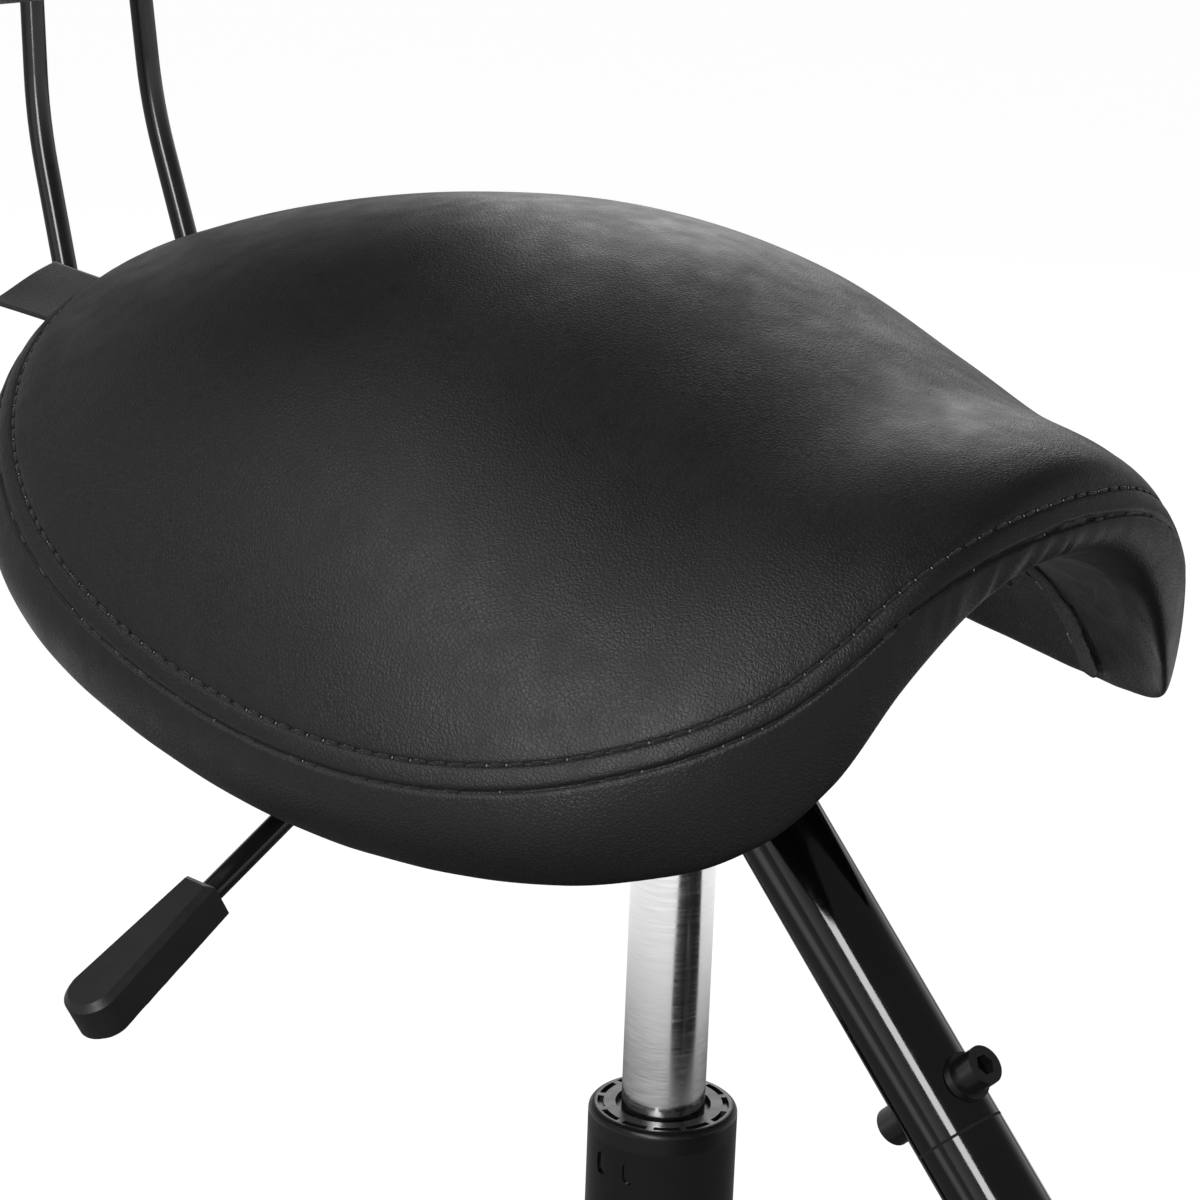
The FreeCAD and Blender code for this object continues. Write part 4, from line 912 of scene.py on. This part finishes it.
def metal(name, base=0.62, roughness=0.26, stretch=(1.0, 1.0, 1.0), lines=300.0, strength=0.2):
    """Bare metal whose fine lines run across the stretched axis."""
    made, tree, shader = new_material(name)
    plain = coordinates(tree)
    drawn = coordinates(tree, stretch)
    line = noise(tree, drawn, lines, 4.0, 0.7)
    bump_stack(tree, shader, [(line, strength, 0.00003), (noise(tree, plain, 30.0, 2.0, 0.5), 0.1, 0.0002)])
    shade(tree, shader, "Base Color", line, (0.3, base * 0.94), (0.72, base * 1.04))
    shade(tree, shader, "Roughness", noise(tree, drawn, lines * 0.5, 3.0, 0.6),
          (0.3, roughness - 0.05), (0.7, roughness + 0.08))
    shader.inputs["Metallic"].default_value = 1.0
    return made


def cloth(name, base=0.012, threads=1500.0, roughness=0.8):
    """Close woven cloth: two crossed thread waves with a little fuzz."""
    made, tree, shader = new_material(name)
    plain = coordinates(tree)
    warp = add(tree, "ShaderNodeTexWave", Scale=threads / 6.28, Distortion=0.6)
    weft = add(tree, "ShaderNodeTexWave", Scale=threads / 6.28, Distortion=0.6)
    weft.bands_direction = "Y"
    for node in (warp, weft):
        tree.links.new(plain, node.inputs["Vector"])
    crossed = add(tree, "ShaderNodeMath", operation="MULTIPLY")
    tree.links.new(warp.outputs["Fac"], crossed.inputs[0])
    tree.links.new(weft.outputs["Fac"], crossed.inputs[1])
    fuzz = noise(tree, plain, 2200.0, 3.0, 0.7)
    bump_stack(tree, shader, [(crossed.outputs[0], 0.5, 0.0002), (fuzz, 0.5, 0.0001)])
    shade(tree, shader, "Base Color", fuzz, (0.3, base * 0.7), (0.7, base * 1.4))
    shader.inputs["Roughness"].default_value = roughness
    shader.inputs["Sheen Weight"].default_value = 0.25
    shader.inputs["Sheen Roughness"].default_value = 0.4
    return made


def felt(name, base=0.16):
    """Fuzzy raw edge of the cover's backing."""
    made, tree, shader = new_material(name)
    plain = coordinates(tree)
    fuzz = noise(tree, plain, 900.0, 5.0, 0.75, 0.8)
    bump_stack(tree, shader, [(fuzz, 1.0, 0.0006)])
    shade(tree, shader, "Base Color", fuzz, (0.3, base * 0.4), (0.7, base * 1.5))
    shader.inputs["Roughness"].default_value = 0.95
    return made


def plywood(name):
    """Layered birch plywood: bands of veneer with fine grain."""
    made, tree, shader = new_material(name)
    grain = noise(tree, coordinates(tree, (1.0, 0.08, 1.0)), 420.0, 5.0, 0.65, 0.4)
    layers = add(tree, "ShaderNodeTexWave", Scale=110.0, Distortion=0.4)
    layers.bands_direction = "Z"
    tree.links.new(coordinates(tree), layers.inputs["Vector"])
    light = ramp(tree, grain, [(0.3, (0.36, 0.22, 0.11, 1)), (0.7, (0.62, 0.44, 0.26, 1))])
    dark = ramp(tree, layers.outputs["Fac"], [(0.2, (0.55, 0.5, 0.45, 1)), (0.8, (1, 1, 1, 1))])
    both = add(tree, "ShaderNodeMix", data_type="RGBA", blend_type="MULTIPLY")
    both.inputs["Factor"].default_value = 0.8
    tree.links.new(light, both.inputs["A"])
    tree.links.new(dark, both.inputs["B"])
    tree.links.new(both.outputs["Result"], shader.inputs["Base Color"])
    bump_stack(tree, shader, [(grain, 0.3, 0.0002)])
    shader.inputs["Roughness"].default_value = 0.7
    return made


LEATHER = leather("seat_leather")
PAD_LEATHER = leather("pad_leather", roughness=0.44)
LINING = leather("lining_vinyl", base=0.02, roughness=0.55, cells=420.0, depth=0.00015)
THREAD = cloth("black_thread", 0.002, 3000.0, 0.85)
KNOT = cloth("pale_thread", 0.22, 3000.0, 0.7)
FELT = felt("raw_edge")
TAG_CLOTH = cloth("tag_cloth", 0.006, 2400.0, 0.75)
STAPLE = metal("staple_steel", 0.6, 0.25)
PAINT = paint("gloss_paint")
ARM_AXIS = (0.0, -math.cos(ARM_SLOPE), -math.sin(ARM_SLOPE))
ARM_SPLICE = ARM_CROSSING_Y * ARM_AXIS[1] + COLUMN_TOP * MM * ARM_AXIS[2] - ARM_SPLICE_ABOVE
ARM_PAINT = paint("arm_paint", joint=(ARM_AXIS, ARM_SPLICE))
ROD_PAINT = paint("rod_paint", 0.005, 0.16, 0.15)
CAP_PLASTIC = plastic("cap_plastic", 0.007, 0.3, 1800.0, 0.12)
GRIP_PLASTIC = plastic("grip_plastic", 0.012, 0.42, 1500.0, 0.35)
BASE_PLASTIC = plastic("base_plastic", 0.009, 0.4, 1100.0, 0.35)
RUBBER = plastic("wheel_rubber", 0.016, 0.6, 700.0, 0.3)
ROD_STEEL = metal("satin_rod_steel", 0.92, 0.17, (1.0, 1.0, 14.0), 160.0, 0.1)
ZINC = metal("zinc_steel", 0.55, 0.3, (1.0, 1.0, 1.0), 500.0, 0.15)
OXIDE = paint("black_oxide", 0.008, 0.3, 0.1)
WOOD = plywood("plywood")

SLOT_LOOK = {"black_vinyl": PAD_LEATHER, "black_cloth": TAG_CLOTH, "plywood": WOOD,
             "black_paint": PAINT, "brushed_steel": ROD_STEEL, "zinc_steel": ZINC,
             "black_oxide": OXIDE, "black_plastic": BASE_PLASTIC, "wheel_rubber": RUBBER}
NODE_LOOK = {"column_cap": CAP_PLASTIC, "guide_sleeve": CAP_PLASTIC, "lever_grip": GRIP_PLASTIC,
             "arm_upper_tube": ARM_PAINT, "arm_lower_tube": ARM_PAINT,
             "lever_rod": ROD_PAINT, "back_rod_left": ROD_PAINT, "back_rod_right": ROD_PAINT}


def dress(piece, material):
    piece.data.materials.clear()
    piece.data.materials.append(material)


for part in frame["record"]["subparts"]:
    node = part["node"]
    dress(frame["nodes"][node], NODE_LOOK.get(node, SLOT_LOOK[part["material_slot"]]))


def finish_piece(piece, material, body, slot, *replaced):
    dress(piece, material)
    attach(piece, body)
    if replaced:
        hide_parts(*replaced)


# Saddle
seat_cover = make_seat_cover()
finish_piece(seat_cover, LEATHER, "seat", "black_vinyl", "seat_cushion")
for thread in make_stitches():
    finish_piece(thread, KNOT if "knots" in thread.name else THREAD, "seat", "black_cloth")
for piece in make_raw_edges():
    look, slot = (STAPLE, "zinc_steel") if "staples" in piece.name else (FELT, "black_cloth")
    finish_piece(piece, look, "seat", slot)
lining = make_lining()
finish_piece(lining, LINING, "seat", "black_cloth", "seat_dust_cover")
tag = make_tag()
finish_piece(tag, TAG_CLOTH, "seat", "black_cloth", "seat_tag")

# Back pad and knee pads, on their boards
back_place = Matrix.Translation(BACK_CENTRE) @ Matrix.Rotation(math.radians(BACK_LEAN), 4, "X")
knee_place = Matrix.Translation(KNEE_CENTRE) @ Matrix.Rotation(math.radians(KNEE_TILT), 4, "X")
pad_places = [
    ("back_pad", "back_cushion", BACK_PAD, back_place, (0, 0, BACK_PAD_SEAT)),
    ("knee_pad_left", "knee_cushion_left", KNEE_PAD, knee_place, (KNEE_SPREAD, 0, KNEE_PAD_SEAT)),
    ("knee_pad_right", "knee_cushion_right", KNEE_PAD, knee_place, (-KNEE_SPREAD, 0, KNEE_PAD_SEAT))]
for number, (name, node, size, place, offset) in enumerate(pad_places):
    pad, thread = make_pad(name, size, place @ Matrix.Translation(offset), 40 + number)
    finish_piece(pad, PAD_LEATHER, "seat", "black_vinyl", node)
    finish_piece(thread, THREAD, "seat", "black_cloth")


# Camera at the photograph's place
CAMERA_PLACE = (-0.8714, -0.7528, 0.8421)
CAMERA_RIGHT = Vector((0.6793, -0.7330, 0.0351))
CAMERA_UP = Vector((0.2001, 0.2310, 0.9522))
camera_data = bpy.data.cameras.new("photo_camera")
camera_data.sensor_width = 36.0
camera_data.lens = 113.1
camera_data.clip_start = 0.05
camera_data.clip_end = 60.0
camera = bpy.data.objects.new("photo_camera", camera_data)
bpy.context.scene.collection.objects.link(camera)
right = CAMERA_RIGHT.normalized()
back = right.cross(CAMERA_UP).normalized()
turn = Matrix((right, back.cross(right), back)).transposed()
camera.matrix_world = Matrix.Translation(CAMERA_PLACE) @ turn.to_4x4()
bpy.context.scene.camera = camera


# Floor, backdrop light and lamps
def make_world(light):
    world = bpy.data.worlds.new("studio")
    world.use_nodes = True
    tree = world.node_tree
    background = tree.nodes["Background"]
    background.inputs["Color"].default_value = (1, 1, 1, 1)
    path = tree.nodes.new("ShaderNodeLightPath")
    glossy = add(tree, "ShaderNodeMath", operation="MAXIMUM")
    tree.links.new(path.outputs["Is Glossy Ray"], glossy.inputs[0])
    tree.links.new(path.outputs["Is Transmission Ray"], glossy.inputs[1])
    place = tree.nodes.new("ShaderNodeTexCoord")
    height = tree.nodes.new("ShaderNodeSeparateXYZ")
    tree.links.new(place.outputs["Generated"], height.inputs[0])
    backdrop = add(tree, "ShaderNodeMapRange")
    for name, value in (("From Min", 0.05), ("From Max", 0.4), ("To Min", 0.85), ("To Max", 0.15)):
        backdrop.inputs[name].default_value = value
    tree.links.new(height.outputs["Z"], backdrop.inputs["Value"])
    mirrored = add(tree, "ShaderNodeMix", data_type="FLOAT")
    mirrored.inputs[2].default_value = light
    tree.links.new(glossy.outputs[0], mirrored.inputs[0])
    tree.links.new(backdrop.outputs["Result"], mirrored.inputs[3])
    seen = add(tree, "ShaderNodeMix", data_type="FLOAT")
    seen.inputs[3].default_value = 1.0
    tree.links.new(path.outputs["Is Camera Ray"], seen.inputs[0])
    tree.links.new(mirrored.outputs[0], seen.inputs[2])
    tree.links.new(seen.outputs[0], background.inputs["Strength"])
    bpy.context.scene.world = world


def make_floor():
    size = 14.0
    corners = [(-size, -size, 0), (size, -size, 0), (size, size, 0), (-size, size, 0)]
    mesh = bpy.data.meshes.new("studio_floor")
    mesh.from_pydata(corners, [], [(0, 1, 2, 3)])
    floor = bpy.data.objects.new("studio_floor", mesh)
    bpy.context.scene.collection.objects.link(floor)
    made, tree, shader = new_material("pale_floor")
    shader.inputs["Base Color"].default_value = (0.17, 0.17, 0.17, 1)
    shader.inputs["Roughness"].default_value = 0.9
    shader.inputs["Specular IOR Level"].default_value = 0.1
    shader.inputs["Emission Color"].default_value = (1, 1, 1, 1)
    path = tree.nodes.new("ShaderNodeLightPath")
    mirrored = add(tree, "ShaderNodeMath", operation="MAXIMUM")
    tree.links.new(path.outputs["Is Glossy Ray"], mirrored.inputs[0])
    tree.links.new(path.outputs["Is Transmission Ray"], mirrored.inputs[1])
    place = tree.nodes.new("ShaderNodeTexCoord")
    reach = add(tree, "ShaderNodeVectorMath", operation="LENGTH")
    tree.links.new(place.outputs["Object"], reach.inputs[0])
    far = add(tree, "ShaderNodeMath", operation="MULTIPLY")
    far.inputs[1].default_value = 1.0 / size
    tree.links.new(reach.outputs["Value"], far.inputs[0])
    # Floor as seen in reflections only: painted shade under the stool within 0.7 m, a painted bright ring
    # from 0.95 to 1.35 m, and a fade by 1.7 m.
    painted_reflection_ring = ramp(tree, far.outputs[0], [(0.70 / size, grey(0.03)), (0.95 / size, grey(0.88)),
                                       (1.35 / size, grey(0.88)), (1.70 / size, grey(0.22))])
    dim = add(tree, "ShaderNodeMath", operation="MULTIPLY")
    tree.links.new(mirrored.outputs[0], dim.inputs[0])
    tree.links.new(painted_reflection_ring, dim.inputs[1])
    strength = add(tree, "ShaderNodeMath", operation="MULTIPLY_ADD")
    strength.inputs[1].default_value = 0.93
    tree.links.new(path.outputs["Is Camera Ray"], strength.inputs[0])
    tree.links.new(dim.outputs[0], strength.inputs[2])
    tree.links.new(strength.outputs[0], shader.inputs["Emission Strength"])
    floor.data.materials.append(made)


def lamp(name, place, target, width, height, watts, roll=0.0):
    data = bpy.data.lights.new(name, "AREA")
    data.shape = "RECTANGLE"
    data.size, data.size_y = width, height
    data.energy = watts
    made = bpy.data.objects.new(name, data)
    bpy.context.scene.collection.objects.link(made)
    aim = Vector(target) - Vector(place)
    made.location = place
    made.rotation_mode = "QUATERNION"
    made.rotation_quaternion = aim.to_track_quat("-Z", "Y") @ Quaternion((0, 0, 1), math.radians(roll))
    return made


make_world(0.25)
make_floor()
lamp("key_box", (-1.3, 0.9, 2.3), (0, 0, 0.5), 1.4, 1.2, 14.0)
lamp("rim_box", (1.7, 1.3, 1.5), (0, 0, 0.5), 1.0, 1.4, 12.0)
lamp("side_strip", (-1.85, -0.66, 1.46), (0, -0.2, 0.3), 0.6, 2.0, 43.0, 44.0)
bpy.context.scene.view_settings.view_transform = "Standard"
